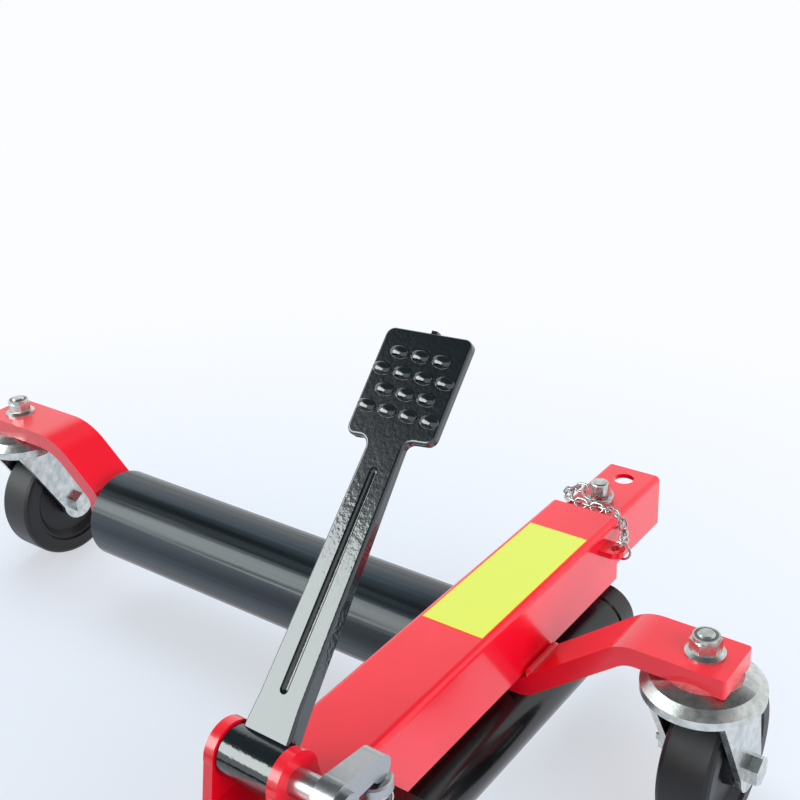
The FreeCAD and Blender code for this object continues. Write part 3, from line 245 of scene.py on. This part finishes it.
@dataclass(frozen=True)
class DecalFilm:
    """Plain printed film: pale yellow with a thin deeper line along the edge."""

    name: str = "printed_yellow_film"
    colour: str = "#DEEC5A"
    line: str = "#F1E636"
    roughness: float = 0.3
    ior: float = 1.5
    coat: float = 0.15
    margin_mm: float = 0.4
    line_mm: float = 0.8

    def make(self) -> bpy.types.Material:
        """Builds the film, its line set in from the decal's own box.

        Returns:
            The material.
        """
        low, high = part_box("blank_decal")
        middle, half = (low + high) / 2, (high - low) / 2
        material, tree, surface = new_material(self.name)
        shader = add_node(tree, "ShaderNodeBsdfPrincipled", {
            "Roughness": self.roughness,
            "IOR": self.ior,
            "Coat Weight": self.coat,
        })
        tree.links.new(shader.outputs["BSDF"], surface)
        place = add_node(tree, "ShaderNodeTexCoord")
        centred = add_node(tree, "ShaderNodeVectorMath", {"operation": "SUBTRACT"},
                           {0: place.outputs["Object"], 1: middle})
        positive = add_node(tree, "ShaderNodeVectorMath", {"operation": "ABSOLUTE"},
                            {0: centred.outputs[0]})
        axes = add_node(tree, "ShaderNodeSeparateXYZ", None, {0: positive.outputs[0]})
        across, along = [
            add_node(tree, "ShaderNodeMath", {"operation": "SUBTRACT"}, {0: half[i], 1: axes.outputs[i]})
            for i in (0, 1)
        ]
        rim = add_node(tree, "ShaderNodeMath", {"operation": "MINIMUM"},
                       {0: across.outputs[0], 1: along.outputs[0]})
        band = add_node(tree, "ShaderNodeMath", {"operation": "COMPARE"}, {
            0: rim.outputs[0],
            1: self.margin_mm * MM,
            2: self.line_mm * MM / 2,
        })
        mix = add_node(tree, "ShaderNodeMix", {"data_type": "RGBA"}, {
            "Factor": band.outputs[0],
            MIX_FIRST: linear(self.colour),
            MIX_SECOND: linear(self.line),
        })
        tree.links.new(mix.outputs[MIX_RESULT], shader.inputs["Base Color"])
        return material


FINISHES: dict[Coat, Finish | DecalFilm] = {
    # Stove enamel over steel: a strong red under a clear wet gloss, with a trace of orange peel.
    Coat.RED: Finish(
        "red_stove_enamel", "#F50A2A", 0.3, coat=0.7, coat_roughness=0.12, gloss_grain_mm=30,
        gloss_spread=0.05, bump_mm=2.2, bump_height_mm=0.02, tone_and_sheen="#EC0826", tone_and_sheen_mm=60),
    # Black oxide on drawn tube: satin, with lengthwise draw lines in the gloss and the surface; the pale
    # lengthwise streaks in its colour are painted reflection streaks.
    Coat.ROLLER: Finish(
        "black_oxide_drawn_tube", "#10181B", 0.22, ior=1.42, gloss_grain_mm=9, gloss_spread=0.14,
        stretch=(0.012, 1.0, 1.0), tone_and_sheen="#35424A", tone_and_sheen_mm=9, bump_mm=9, bump_height_mm=0.8),
    # Turned nylon plugs, dull black.
    Coat.PLUG: Finish("black_nylon", "#0E0E0F", 0.55),
    # Turned mild steel, bright with an uneven gloss.
    Coat.STEEL: Finish("turned_steel", "#B9BCBE", 0.3, metallic=1.0, gloss_grain_mm=3, gloss_spread=0.1),
    # Hard chrome, near mirror.
    Coat.CHROME: Finish("hard_chrome", "#D4D7DA", 0.1, metallic=1.0, gloss_grain_mm=40, gloss_spread=0.03),
    # Gloss black enamel on the ram and pump.
    Coat.BLACK: Finish("gloss_black_enamel", "#0D0D0F", 0.2, coat=0.3, bump_mm=2.5, bump_height_mm=0.02),
    # Black dipped casting: a thick wet coat over a sandy skin, whose grit is drawn coarse so that it shows.
    Coat.CASTING: Finish(
        "dipped_black_casting", "#08171C", 0.14, coat=1.0, ior=1.55, gloss_grain_mm=6, bump_mm=2.4,
        bump_height_mm=0.08),
    # Bright zinc plate: pale, slightly cloudy metal.
    Coat.ZINC: Finish(
        "bright_zinc_plate", "#DEDFDB", 0.26, metallic=1.0, gloss_grain_mm=5, gloss_spread=0.1,
        tone_and_sheen="#BAC1BF", tone_and_sheen_mm=6, bump_mm=1.5, bump_height_mm=0.02),
    # Natural nylon insert of the lock nuts, greyed by handling.
    Coat.NYLON: Finish("grey_nylon", "#5F6864", 0.4),
    # Printed film, smooth and slightly glossy.
    Coat.DECAL: DecalFilm(),
    # Moulded rubber wheel, dull black with a little sheen on its edges.
    Coat.TREAD: Finish(
        "moulded_black_rubber", "#101113", 0.42, gloss_grain_mm=12, gloss_spread=0.08, bump_mm=2,
        bump_height_mm=0.03),
}


class Wardrobe:
    """Makes each finish once and hands it out."""

    def __init__(self) -> None:
        """Starts with nothing made."""
        self.made: dict[Coat, bpy.types.Material] = {}

    def get(self, coat: Coat) -> bpy.types.Material:
        """The material of a coat, made on first use.

        Args:
            coat: the finish wanted.

        Returns:
            Its material.
        """
        if coat not in self.made:
            self.made[coat] = FINISHES[coat].make()
        return self.made[coat]

    def dress(self, piece: bpy.types.Object, coat: Coat) -> None:
        """Puts one finish on a whole piece."""
        piece.data.materials.clear()
        piece.data.materials.append(self.get(coat))

    def dress_frame(self) -> None:
        """Gives every CAD node the finish that the record names for it."""
        slots = {row["node"]: row["material_slot"] for row in frame["record"]["subparts"]}
        for name, node in frame["nodes"].items():
            self.dress(node, Coat(slots[name]))
            LOG.info("%s wears %s", name, slots[name])

    def dress_new(self, piece: bpy.types.Object, coat: Coat, node: str) -> None:
        """Dresses a made piece that stands in for a CAD node.

        Args:
            piece: the made piece.
            coat: its finish.
            node: the CAD node that it is shown in place of.
        """
        self.dress(piece, coat)
        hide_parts(node)


def new_piece(name: str, points: np.ndarray, *faces: np.ndarray) -> bpy.types.Object:
    """Makes a smooth mesh object at the origin.

    Args:
        name: the piece's name.
        points: vertices, one row each, in metres.
        faces: arrays of vertex numbers, one row per face.

    Returns:
        The linked object.
    """
    mesh = bpy.data.meshes.new(name)
    mesh.from_pydata(points.tolist(), [], sum((part.tolist() for part in faces), []))
    mesh.polygons.foreach_set("use_smooth", np.ones(len(mesh.polygons), dtype=bool))
    mesh.update()
    piece = bpy.data.objects.new(name, mesh)
    bpy.context.scene.collection.objects.link(piece)
    return piece


def grid_faces(rows: int, columns: int, closed_rows: bool) -> np.ndarray:
    """Quads of a grid that is closed round its columns, and round its rows where told.

    Args:
        rows: rings along the path.
        columns: points round each ring.
        closed_rows: whether the last ring joins the first.

    Returns:
        The quads, facing outwards for rings that turn right-handed about the path.
    """
    count = rows if closed_rows else rows - 1
    row, column = np.meshgrid(np.arange(count), np.arange(columns), indexing="ij")
    here, ahead = row * columns, (row + 1) % rows * columns
    side = (column + 1) % columns
    quads = np.stack([here + column, here + side, ahead + side, ahead + column], axis=-1)
    return quads.reshape(-1, 4)


def tube(path: np.ndarray, first: np.ndarray, second: np.ndarray, radius: float, sides: int) -> np.ndarray:
    """Points of a round wire: a circle, radius times (cos, sin) of two directions, carried along a path.

    Args:
        path: the wire's middle line.
        first: unit direction of the circle's cosine at each point.
        second: unit direction of its sine at each point, or one for all.
        radius: the wire's radius.
        sides: points round the wire.

    Returns:
        The points, ring after ring.
    """
    turn = np.linspace(0, 2 * np.pi, sides, endpoint=False)[None, :, None]
    ring = np.cos(turn) * first[:, None, :] + np.sin(turn) * np.atleast_2d(second)[:, None, :]
    return (path[:, None, :] + radius * ring).reshape(-1, 3)


def wire_loop(path: np.ndarray, flat: np.ndarray, radius: float, sides: int = 10) -> Shell:
    """A round wire bent into a closed flat loop: a circle carried along the path.

    Args:
        path: points of the loop, in order.
        flat: unit normal of the loop's plane.
        radius: the wire's radius.
        sides: points round the wire.

    Returns:
        Vertices and quads.
    """
    tangent = np.roll(path, -1, axis=0) - np.roll(path, 1, axis=0)
    tangent /= np.linalg.norm(tangent, axis=1, keepdims=True)
    points = tube(path, np.cross(tangent, flat), flat, radius, sides)
    return points, grid_faces(len(path), sides, True)[:, ::-1]


def joined(parts: Sequence[Shell]) -> Shell:
    """Several meshes as one.

    Args:
        parts: vertices and faces of each.

    Returns:
        All vertices and all faces.
    """
    starts = np.cumsum([0] + [len(points) for points, _ in parts[:-1]])
    faces = [part + start for (_, part), start in zip(parts, starts)]
    return np.concatenate([points for points, _ in parts]), np.concatenate(faces)


def smooth_route(points: np.ndarray, samples: int = 600) -> np.ndarray:
    """A natural cubic spline through points, each span as long as its chord.

    Args:
        points: the route's chosen points.
        samples: points of the result.

    Returns:
        Points spaced evenly along the curve.
    """
    chord = np.linalg.norm(np.diff(points, axis=0), axis=1)
    knot = np.concatenate([[0], np.cumsum(chord)])
    count = len(points)
    matrix = np.eye(count)
    right = np.zeros_like(points)
    inner = np.arange(1, count - 1)
    matrix[inner, inner - 1] = chord[:-1]
    matrix[inner, inner] = 2 * (chord[:-1] + chord[1:])
    matrix[inner, inner + 1] = chord[1:]
    slope = np.diff(points, axis=0) / chord[:, None]
    right[inner] = 6 * (slope[1:] - slope[:-1])
    bend = np.linalg.solve(matrix, right)
    at = np.linspace(0, knot[-1], samples)
    span = np.clip(np.searchsorted(knot, at, side="right") - 1, 0, count - 2)
    size = chord[span][:, None]
    a = (knot[span + 1] - at)[:, None]
    b = (at - knot[span])[:, None]
    curve = (bend[span] * a ** 3 + bend[span + 1] * b ** 3) / (6 * size)
    curve += (points[span] / size - bend[span] * size / 6) * a
    curve += (points[span + 1] / size - bend[span + 1] * size / 6) * b
    run = np.concatenate([[0], np.cumsum(np.linalg.norm(np.diff(curve, axis=0), axis=1))])
    even = np.linspace(0, run[-1], samples)
    return np.stack([np.interp(even, run, curve[:, k]) for k in range(3)], axis=1)


def even_joints(points: np.ndarray, pitch: float) -> np.ndarray:
    """Points a little under one pitch apart along a smooth route through points.

    Args:
        points: the route's chosen points.
        pitch: the longest step.

    Returns:
        The steps' ends, both ends of the route among them.
    """
    curve = smooth_route(points)
    length = np.linalg.norm(np.diff(curve, axis=0), axis=1).sum()
    count = math.ceil(length / pitch)
    return curve[np.linspace(0, len(curve) - 1, count + 1).round().astype(int)]


@dataclass
class PinChain:
    """The lock pin's chain: a ring round the pin, oval links, and a ring in the tube's eye."""

    wire_mm: float = 1.65
    pitch_mm: float = 6.6
    slack_mm: float = 1.0
    link_wide_mm: float = 7.4
    bend_points: int = 9
    pin_ring_mm: float = 10.4
    pin_collar_mm: float = 3.3
    eye_ring_mm: float = 6.0
    eye_rim_mm: float = 3.7
    ring_points: int = 40
    ring_start: tuple[float, float, float] = (0.3, 0.9, 0.5)
    tilt_deg: float = 8.0
    leave_deg: float = 4.0
    end_turn_deg: float = 45.0
    middle_turn_deg: float = 135.0
    eye_turn_deg: float = 0.0
    over_shares: Shares = (
        (-0.335, 0.415, 0.025), (-0.405, 0.32, 0.0), (-0.375, 0.2, -0.015), (-0.23, 0.135, -0.02),
        (0.0, 0.124, -0.02), (0.18, 0.124, -0.02),
    )
    down_shares: Shares = (
        (0.18, 0.124, -0.02), (0.34, 0.12, -0.012), (0.465, 0.11, -0.064), (0.57, 0.02, -0.12),
        (0.65, -0.12, -0.14), (0.72, -0.26, -0.114),
    )

    def route(self, shares: Shares) -> np.ndarray:
        """Places a route's points, measured from the middle of the main tube's far top edge.

        Args:
            shares: the points as shares of the tube's width.

        Returns:
            The points, in metres.
        """
        low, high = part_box("outer_tube")
        corner = np.array([(low.x + high.x) / 2, high.y, high.z])
        return corner + np.array(shares) * (high.x - low.x)

    def link(self, centre: np.ndarray, along: np.ndarray, across: np.ndarray) -> Shell:
        """One oval link: two half circles joined by straight sides.

        Args:
            centre: the link's middle.
            along: unit vector of its length.
            across: unit vector of its width.

        Returns:
            Vertices and quads.
        """
        wide = self.link_wide_mm * MM / 2 - self.wire_mm * MM / 2
        straight = (self.pitch_mm + self.wire_mm + self.slack_mm) * MM / 2 - wide
        turn = np.linspace(-np.pi / 2, np.pi / 2, self.bend_points)
        a = np.concatenate([straight + wide * np.cos(turn), -straight - wide * np.cos(turn)])
        b = np.concatenate([wide * np.sin(turn), -wide * np.sin(turn)])
        path = centre + a[:, None] * along + b[:, None] * across
        return wire_loop(path, np.cross(along, across), self.wire_mm * MM / 2)

    def links(self, points: np.ndarray, first_turn: float, last_turn: float) -> list[Shell]:
        """Links along a route, about a quarter turn from each to the next.

        Args:
            points: the route.
            first_turn: turn of the first link about the route, in degrees.
            last_turn: turn of the last link, in degrees.

        Returns:
            Vertices and quads of each link.
        """
        joints = even_joints(points, self.pitch_mm * MM)
        last = len(joints) - 2
        # What the quarter turns leave over, as the least turn either way, is spread along the run.
        over = first_turn - last_turn - QUARTER_DEG * last
        twist = (over + QUARTER_DEG) % (2 * QUARTER_DEG) - QUARTER_DEG
        side = np.array([0.0, 0.0, 1.0])
        made = []
        for i, (a, b) in enumerate(zip(joints[:-1], joints[1:])):
            along = (b - a) / np.linalg.norm(b - a)
            side = side - along * side.dot(along)
            side /= np.linalg.norm(side)
            angle = math.radians(last_turn + (QUARTER_DEG + twist / last) * (last - i))
            across = math.cos(angle) * side + math.sin(angle) * np.cross(along, side)
            made.append(self.link((a + b) / 2, along, across))
        return made

    def ring(self, centre: np.ndarray, flat: np.ndarray, radius: float) -> Shell:
        """A round ring of the chain's wire: a wire loop along a circle.

        Args:
            centre: the ring's middle.
            flat: unit normal of its plane.
            radius: its radius to the wire's middle.

        Returns:
            Vertices and quads.
        """
        first = np.cross(flat, self.ring_start)
        first /= np.linalg.norm(first)
        second = np.cross(flat, first)
        turn = np.linspace(0, 2 * np.pi, self.ring_points, endpoint=False)[:, None]
        path = centre + radius * (np.cos(turn) * first + np.sin(turn) * second)
        return wire_loop(path, flat, self.wire_mm * MM / 2)

    def build(self, wardrobe: Wardrobe) -> list[bpy.types.Object]:
        """Builds the two runs and the pin's ring.

        Args:
            wardrobe: where the zinc finish comes from.

        Returns:
            The two runs and the ring round the pin.
        """
        wire, pin_r, eye_r = self.wire_mm * MM / 2, self.pin_ring_mm * MM, self.eye_ring_mm * MM
        low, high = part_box("lock_pin")
        tilt, leave = math.radians(self.tilt_deg), math.radians(self.leave_deg)
        ring_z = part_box("inner_tube")[1].z + self.pin_collar_mm * MM + wire + pin_r * math.sin(tilt)
        ring_at = np.array([(low.x + high.x) / 2 - 2 * wire, (low.y + high.y) / 2, ring_z])
        outward = np.array([-math.cos(leave), -math.sin(leave), math.sin(tilt) * math.cos(leave)])
        start = ring_at + outward * (pin_r - 2 * wire)
        over = np.vstack([start, self.route(self.over_shares)])
        upper = self.links(over, self.end_turn_deg, self.middle_turn_deg)
        pin_ring = self.ring(ring_at, np.array([math.sin(tilt), 0.0, math.cos(tilt)]), pin_r)
        low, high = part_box("chain_eye")
        eye_ring = np.array([high.x - self.eye_rim_mm * MM / 2, (low.y + high.y) / 2, high.z])
        hook = eye_ring + np.array([0, -wire - self.slack_mm * MM / 2, eye_r])
        down = np.vstack([self.route(self.down_shares), hook])
        lower = self.links(down, self.end_turn_deg, self.eye_turn_deg)
        lower.append(self.ring(eye_ring, np.array([0.0, 1.0, 0.0]), eye_r))
        pieces = []
        for part, shells in (("upper", upper), ("lower", lower)):
            piece = new_piece("pin_chain_" + part, *joined(shells))
            wardrobe.dress_new(piece, Coat.ZINC, "chain_" + part)
            pieces.append(piece)
        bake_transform(pieces[0])
        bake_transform(pieces[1])
        ring = new_piece("pin_chain_ring", *pin_ring)
        wardrobe.dress_new(ring, Coat.ZINC, "chain_upper")
        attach(ring, "pin")
        return pieces + [ring]


@dataclass
class PumpSpring:
    """The plunger's return spring, built at one length; the real one shortens as the pedal goes down."""

    wire_mm: float = 2.0
    turns: int = 5
    stroke_mm: float = 19.8
    sides: int = 12
    turn_points: int = 48

    def build(self, wardrobe: Wardrobe) -> bpy.types.Object:
        """Builds the coil: a circle carried along a helix that fills the CAD spring's box.

        Args:
            wardrobe: where the zinc finish comes from.

        Returns:
            The spring.
        """
        low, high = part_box("pump_spring")
        wire = self.wire_mm * MM / 2
        radius = (high.x - low.x) / 2 - wire
        turn = np.linspace(0, 2 * np.pi * self.turns, self.turn_points * self.turns + 1)
        outward = np.stack([np.cos(turn), np.sin(turn), np.zeros_like(turn)], axis=1)
        path = np.array([(low.x + high.x) / 2, (low.y + high.y) / 2, 0]) + radius * outward
        path[:, 2] = np.linspace(low.z + wire, high.z - wire, len(turn))
        tangent = np.gradient(path, axis=0)
        tangent /= np.linalg.norm(tangent, axis=1, keepdims=True)
        skin = tube(path, outward, np.cross(tangent, outward), wire, self.sides)
        points = np.concatenate([skin, path[[0, -1]]])
        edge = np.arange(self.sides)
        ahead = (edge + 1) % self.sides
        end = len(skin) - self.sides
        foot = np.stack([np.full_like(edge, len(skin)), ahead, edge], axis=1)
        head = np.stack([np.full_like(edge, len(skin) + 1), end + edge, end + ahead], axis=1)
        faces = grid_faces(len(path), self.sides, False)
        piece = new_piece("plunger_return_spring", points, faces, foot, head)
        wardrobe.dress_new(piece, Coat.ZINC, "pump_spring")
        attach(piece, "frame")
        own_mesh(piece)
        return piece


@dataclass
class WeldBead:
    """A bead laid in the corner between the tube and the rising bar, with the ripple of the torch."""

    node: str
    body: str
    ripple_mm: float = 2.4
    ripple: float = 0.07
    wide_share: float = 0.6
    thick_mm: float = 1.9
    sunk_share: float = 0.35
    end_mm: float = 3.0
    rings: int = 140
    sides: int = 20

    def build(self, wardrobe: Wardrobe) -> bpy.types.Object:
        """Builds the bead: an ellipse carried along the corner, its height pulsing once per ripple.

        Args:
            wardrobe: where the red enamel comes from.

        Returns:
            The bead.
        """
        low, high = (np.array(v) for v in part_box(self.node))
        face = np.array([high[0] - low[0], 0, low[2] - high[2]])
        wide = np.linalg.norm(face) / 2
        face /= 2 * wide
        up = np.cross(face, [0.0, -1.0, 0.0])
        up *= np.sign(up[2])
        thick = self.thick_mm * MM
        along = np.linspace(low[1], high[1], self.rings)
        middle = (low + high) / 2 - up * thick * self.sunk_share
        run = high[1] - low[1]
        end = np.clip((along - low[1]) * (high[1] - along) / (self.end_mm * MM * run), 0, 1) ** 0.5
        wave = np.abs(np.sin(np.pi * (along - low[1]) / (self.ripple_mm * MM)))
        pulse = end * (1 + self.ripple * wave)
        turn = np.linspace(0, 2 * np.pi, self.sides, endpoint=False)[:, None]
        ring = wide * self.wide_share * np.cos(turn) * face + thick * np.sin(turn) * up
        path = np.stack([np.full_like(along, middle[0]), along, np.full_like(along, middle[2])], axis=1)
        points = path[:, None, :] + pulse[:, None, None] * ring[None, :, :]
        faces = grid_faces(self.rings, self.sides, False)
        piece = new_piece(self.node + "_bead", points.reshape(-1, 3), faces)
        wardrobe.dress_new(piece, Coat.RED, self.node)
        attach(piece, self.body)
        return piece


@dataclass
class PhotoCamera:
    """The camera that the photograph was taken with, fitted to the main tube and its pieces."""

    place_mm: tuple[float, float, float] = (501.5, -307.9, 552.6)
    yaw_deg: float = 37.65
    pitch_deg: float = 24.74
    roll_deg: float = 3.15
    focal_px: float = 1214.2
    centre_px: tuple[float, float] = (401.5, 391.5)
    frame_px: float = 800.0
    sensor_mm: float = 36.0
    nearest_m: float = 0.01

    def build(self) -> bpy.types.Object:
        """Sets the camera up.

        Returns:
            The camera object.
        """
        yaw, pitch, roll = (math.radians(v) for v in (self.yaw_deg, self.pitch_deg, self.roll_deg))
        level = Vector((math.cos(yaw), math.sin(yaw), 0))
        heading = Vector((-math.sin(yaw), math.cos(yaw), 0))
        ahead = math.cos(pitch) * heading - math.sin(pitch) * Vector((0, 0, 1))
        down = ahead.cross(level)
        right = math.cos(roll) * level + math.sin(roll) * down
        up = math.sin(roll) * level - math.cos(roll) * down
        data = bpy.data.cameras.new("photo_camera")
        data.sensor_fit = "HORIZONTAL"
        data.sensor_width = self.sensor_mm
        data.lens = self.focal_px / self.frame_px * self.sensor_mm
        half = self.frame_px / 2
        data.shift_x = (half - self.centre_px[0]) / self.frame_px
        data.shift_y = (self.centre_px[1] - half) / self.frame_px
        data.clip_start = self.nearest_m
        camera = bpy.data.objects.new("photo_camera", data)
        basis = Matrix((right, up, -ahead)).transposed().to_4x4()
        camera.matrix_world = Matrix.Translation(Vector(self.place_mm) * MM) @ basis
        bpy.context.scene.collection.objects.link(camera)
        bpy.context.scene.camera = camera
        return camera


@dataclass(frozen=True)
class SoftBox:
    """A soft rectangular lamp, aimed at the object's middle."""

    name: str
    place_m: tuple[float, float, float]
    wide_m: float
    high_m: float
    watts: float
    colour: str = "#FFFFFF"
    mirrored: bool = True
    lighting: bool = True
    aim_m: tuple[float, float, float] = (0.1, 0.1, 0.15)

    def build(self) -> bpy.types.Object:
        """Hangs the lamp.

        Returns:
            The lamp.
        """
        data = bpy.data.lights.new(self.name, "AREA")
        data.shape = "RECTANGLE"
        data.size, data.size_y = self.wide_m, self.high_m
        data.energy = self.watts
        data.color = linear(self.colour)[:3]
        lamp = bpy.data.objects.new(self.name, data)
        lamp.location = self.place_m
        aim = Vector(self.aim_m) - Vector(self.place_m)
        lamp.rotation_euler = aim.to_track_quat("-Z", "Y").to_euler()
        lamp.visible_glossy = self.mirrored
        lamp.visible_diffuse = self.lighting
        bpy.context.scene.collection.objects.link(lamp)
        return lamp


@dataclass
class Studio:
    """A pale floor in a white surround under a dim ceiling, with broad soft lamps."""

    floor_colour: str = "#D6E8FF"
    sky_colour: str = "#FBFDFF"
    fill: float = 0.95
    ceiling: float = 0.12
    wall_top_deg: float = 36.0
    ceiling_deg: float = 47.0
    floor_m: float = 30.0
    fade_from_m: float = 0.3
    fade_to_m: float = 0.95
    near_glow: float = 0.55
    # The front lamp only shows in the gloss; the other two only light.
    lamps: tuple[SoftBox, ...] = (
        SoftBox("front_softbox", (-0.76, -0.92, 0.85), 1.4, 0.78, 20.4, "#F3FCFB", lighting=False),
        SoftBox("right_softbox", (1.6, -0.1, 0.8), 1.2, 1.2, 17.0, mirrored=False),
        SoftBox("overhead_softbox", (-0.5, 0.6, 1.7), 1.2, 1.2, 16.0, mirrored=False),
    )

    def world(self) -> None:
        """Plain white to the eye; as light, white walls that end at a dim ceiling."""
        world = bpy.data.worlds.new("white_surround")
        bpy.context.scene.world = world
        world.use_nodes = True
        tree = world.node_tree
        tree.nodes.clear()
        path = add_node(tree, "ShaderNodeLightPath")
        seen = add_node(tree, "ShaderNodeMath", {"operation": "MAXIMUM"},
                        {0: path.outputs["Is Camera Ray"], 1: path.outputs["Is Transmission Ray"]})
        place = add_node(tree, "ShaderNodeTexCoord")
        axes = add_node(tree, "ShaderNodeSeparateXYZ", None, {0: place.outputs["Generated"]})
        height = add_node(tree, "ShaderNodeMapRange", {
            "From Min": math.sin(math.radians(self.wall_top_deg)),
            "From Max": math.sin(math.radians(self.ceiling_deg)),
            "To Min": 1.0,
            "To Max": self.ceiling,
            "interpolation_type": "SMOOTHSTEP",
        }, {"Value": axes.outputs["Z"]})
        level = add_node(tree, "ShaderNodeMapRange", {"To Min": self.fill, "To Max": 1.0},
                         {"Value": path.outputs["Is Glossy Ray"]})
        around = add_node(tree, "ShaderNodeMath", {"operation": "MULTIPLY"},
                          {0: height.outputs[0], 1: level.outputs[0]})
        strength = add_node(tree, "ShaderNodeMath", {"operation": "MAXIMUM"},
                            {0: seen.outputs[0], 1: around.outputs[0]})
        light = add_node(tree, "ShaderNodeBackground", {"Color": linear(self.sky_colour)},
                         {"Strength": strength.outputs[0]})
        add_node(tree, "ShaderNodeOutputWorld", None, {"Surface": light.outputs[0]})

    def floor(self) -> bpy.types.Object:
        """A plain floor that keeps the object's shadow and fades to the white surround.

        Returns:
            The floor.
        """
        half = self.floor_m / 2
        points = np.array([[-half, -half, 0], [half, -half, 0], [half, half, 0], [-half, half, 0]])
        floor = new_piece("studio_floor", points, np.array([[0, 1, 2, 3]]))
        material, tree, surface = new_material("pale_paper")
        paper = add_node(tree, "ShaderNodeBsdfDiffuse", {"Color": linear(self.floor_colour)})
        glow = add_node(tree, "ShaderNodeEmission", {"Color": linear(self.sky_colour), "Strength": 1.0})
        place = add_node(tree, "ShaderNodeTexCoord")
        far = add_node(tree, "ShaderNodeVectorMath", {"operation": "LENGTH"},
                       {0: place.outputs["Object"]})
        fade = add_node(tree, "ShaderNodeMapRange", {
            "From Min": self.fade_from_m,
            "From Max": self.fade_to_m,
            "To Min": self.near_glow,
            "To Max": 1.0,
            "interpolation_type": "SMOOTHSTEP",
        }, {"Value": far.outputs["Value"]})
        path = add_node(tree, "ShaderNodeLightPath")
        seen = add_node(tree, "ShaderNodeMath", {"operation": "MAXIMUM"},
                        {0: path.outputs["Is Camera Ray"], 1: path.outputs["Is Glossy Ray"]})
        amount = add_node(tree, "ShaderNodeMath", {"operation": "MULTIPLY"},
                          {0: fade.outputs[0], 1: seen.outputs[0]})
        mix = add_node(tree, "ShaderNodeMixShader", None,
                       {0: amount.outputs[0], 1: paper.outputs[0], 2: glow.outputs[0]})
        tree.links.new(mix.outputs[0], surface)
        floor.data.materials.append(material)
        return floor

    def build(self) -> None:
        """Sets the floor, the surround and the lamps."""
        bpy.context.scene.view_settings.view_transform = "Standard"
        self.world()
        self.floor()
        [lamp.build() for lamp in self.lamps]


def main() -> None:
    """Dresses the frame, adds the made pieces and sets the studio."""
    logging.basicConfig(level=logging.INFO, format="%(name)s: %(message)s")
    wardrobe = Wardrobe()
    wardrobe.dress_frame()
    pieces = PinChain().build(wardrobe)
    pieces.append(PumpSpring().build(wardrobe))
    pieces.append(WeldBead("arm_a_weld", "frame").build(wardrobe))
    pieces.append(WeldBead("arm_b_weld", "carriage").build(wardrobe))
    for piece in pieces:
        LOG.info("%s: %d faces", piece.name, len(piece.data.polygons))
    Studio().build()
    PhotoCamera().build()


if __name__ == "__main__":
    main()
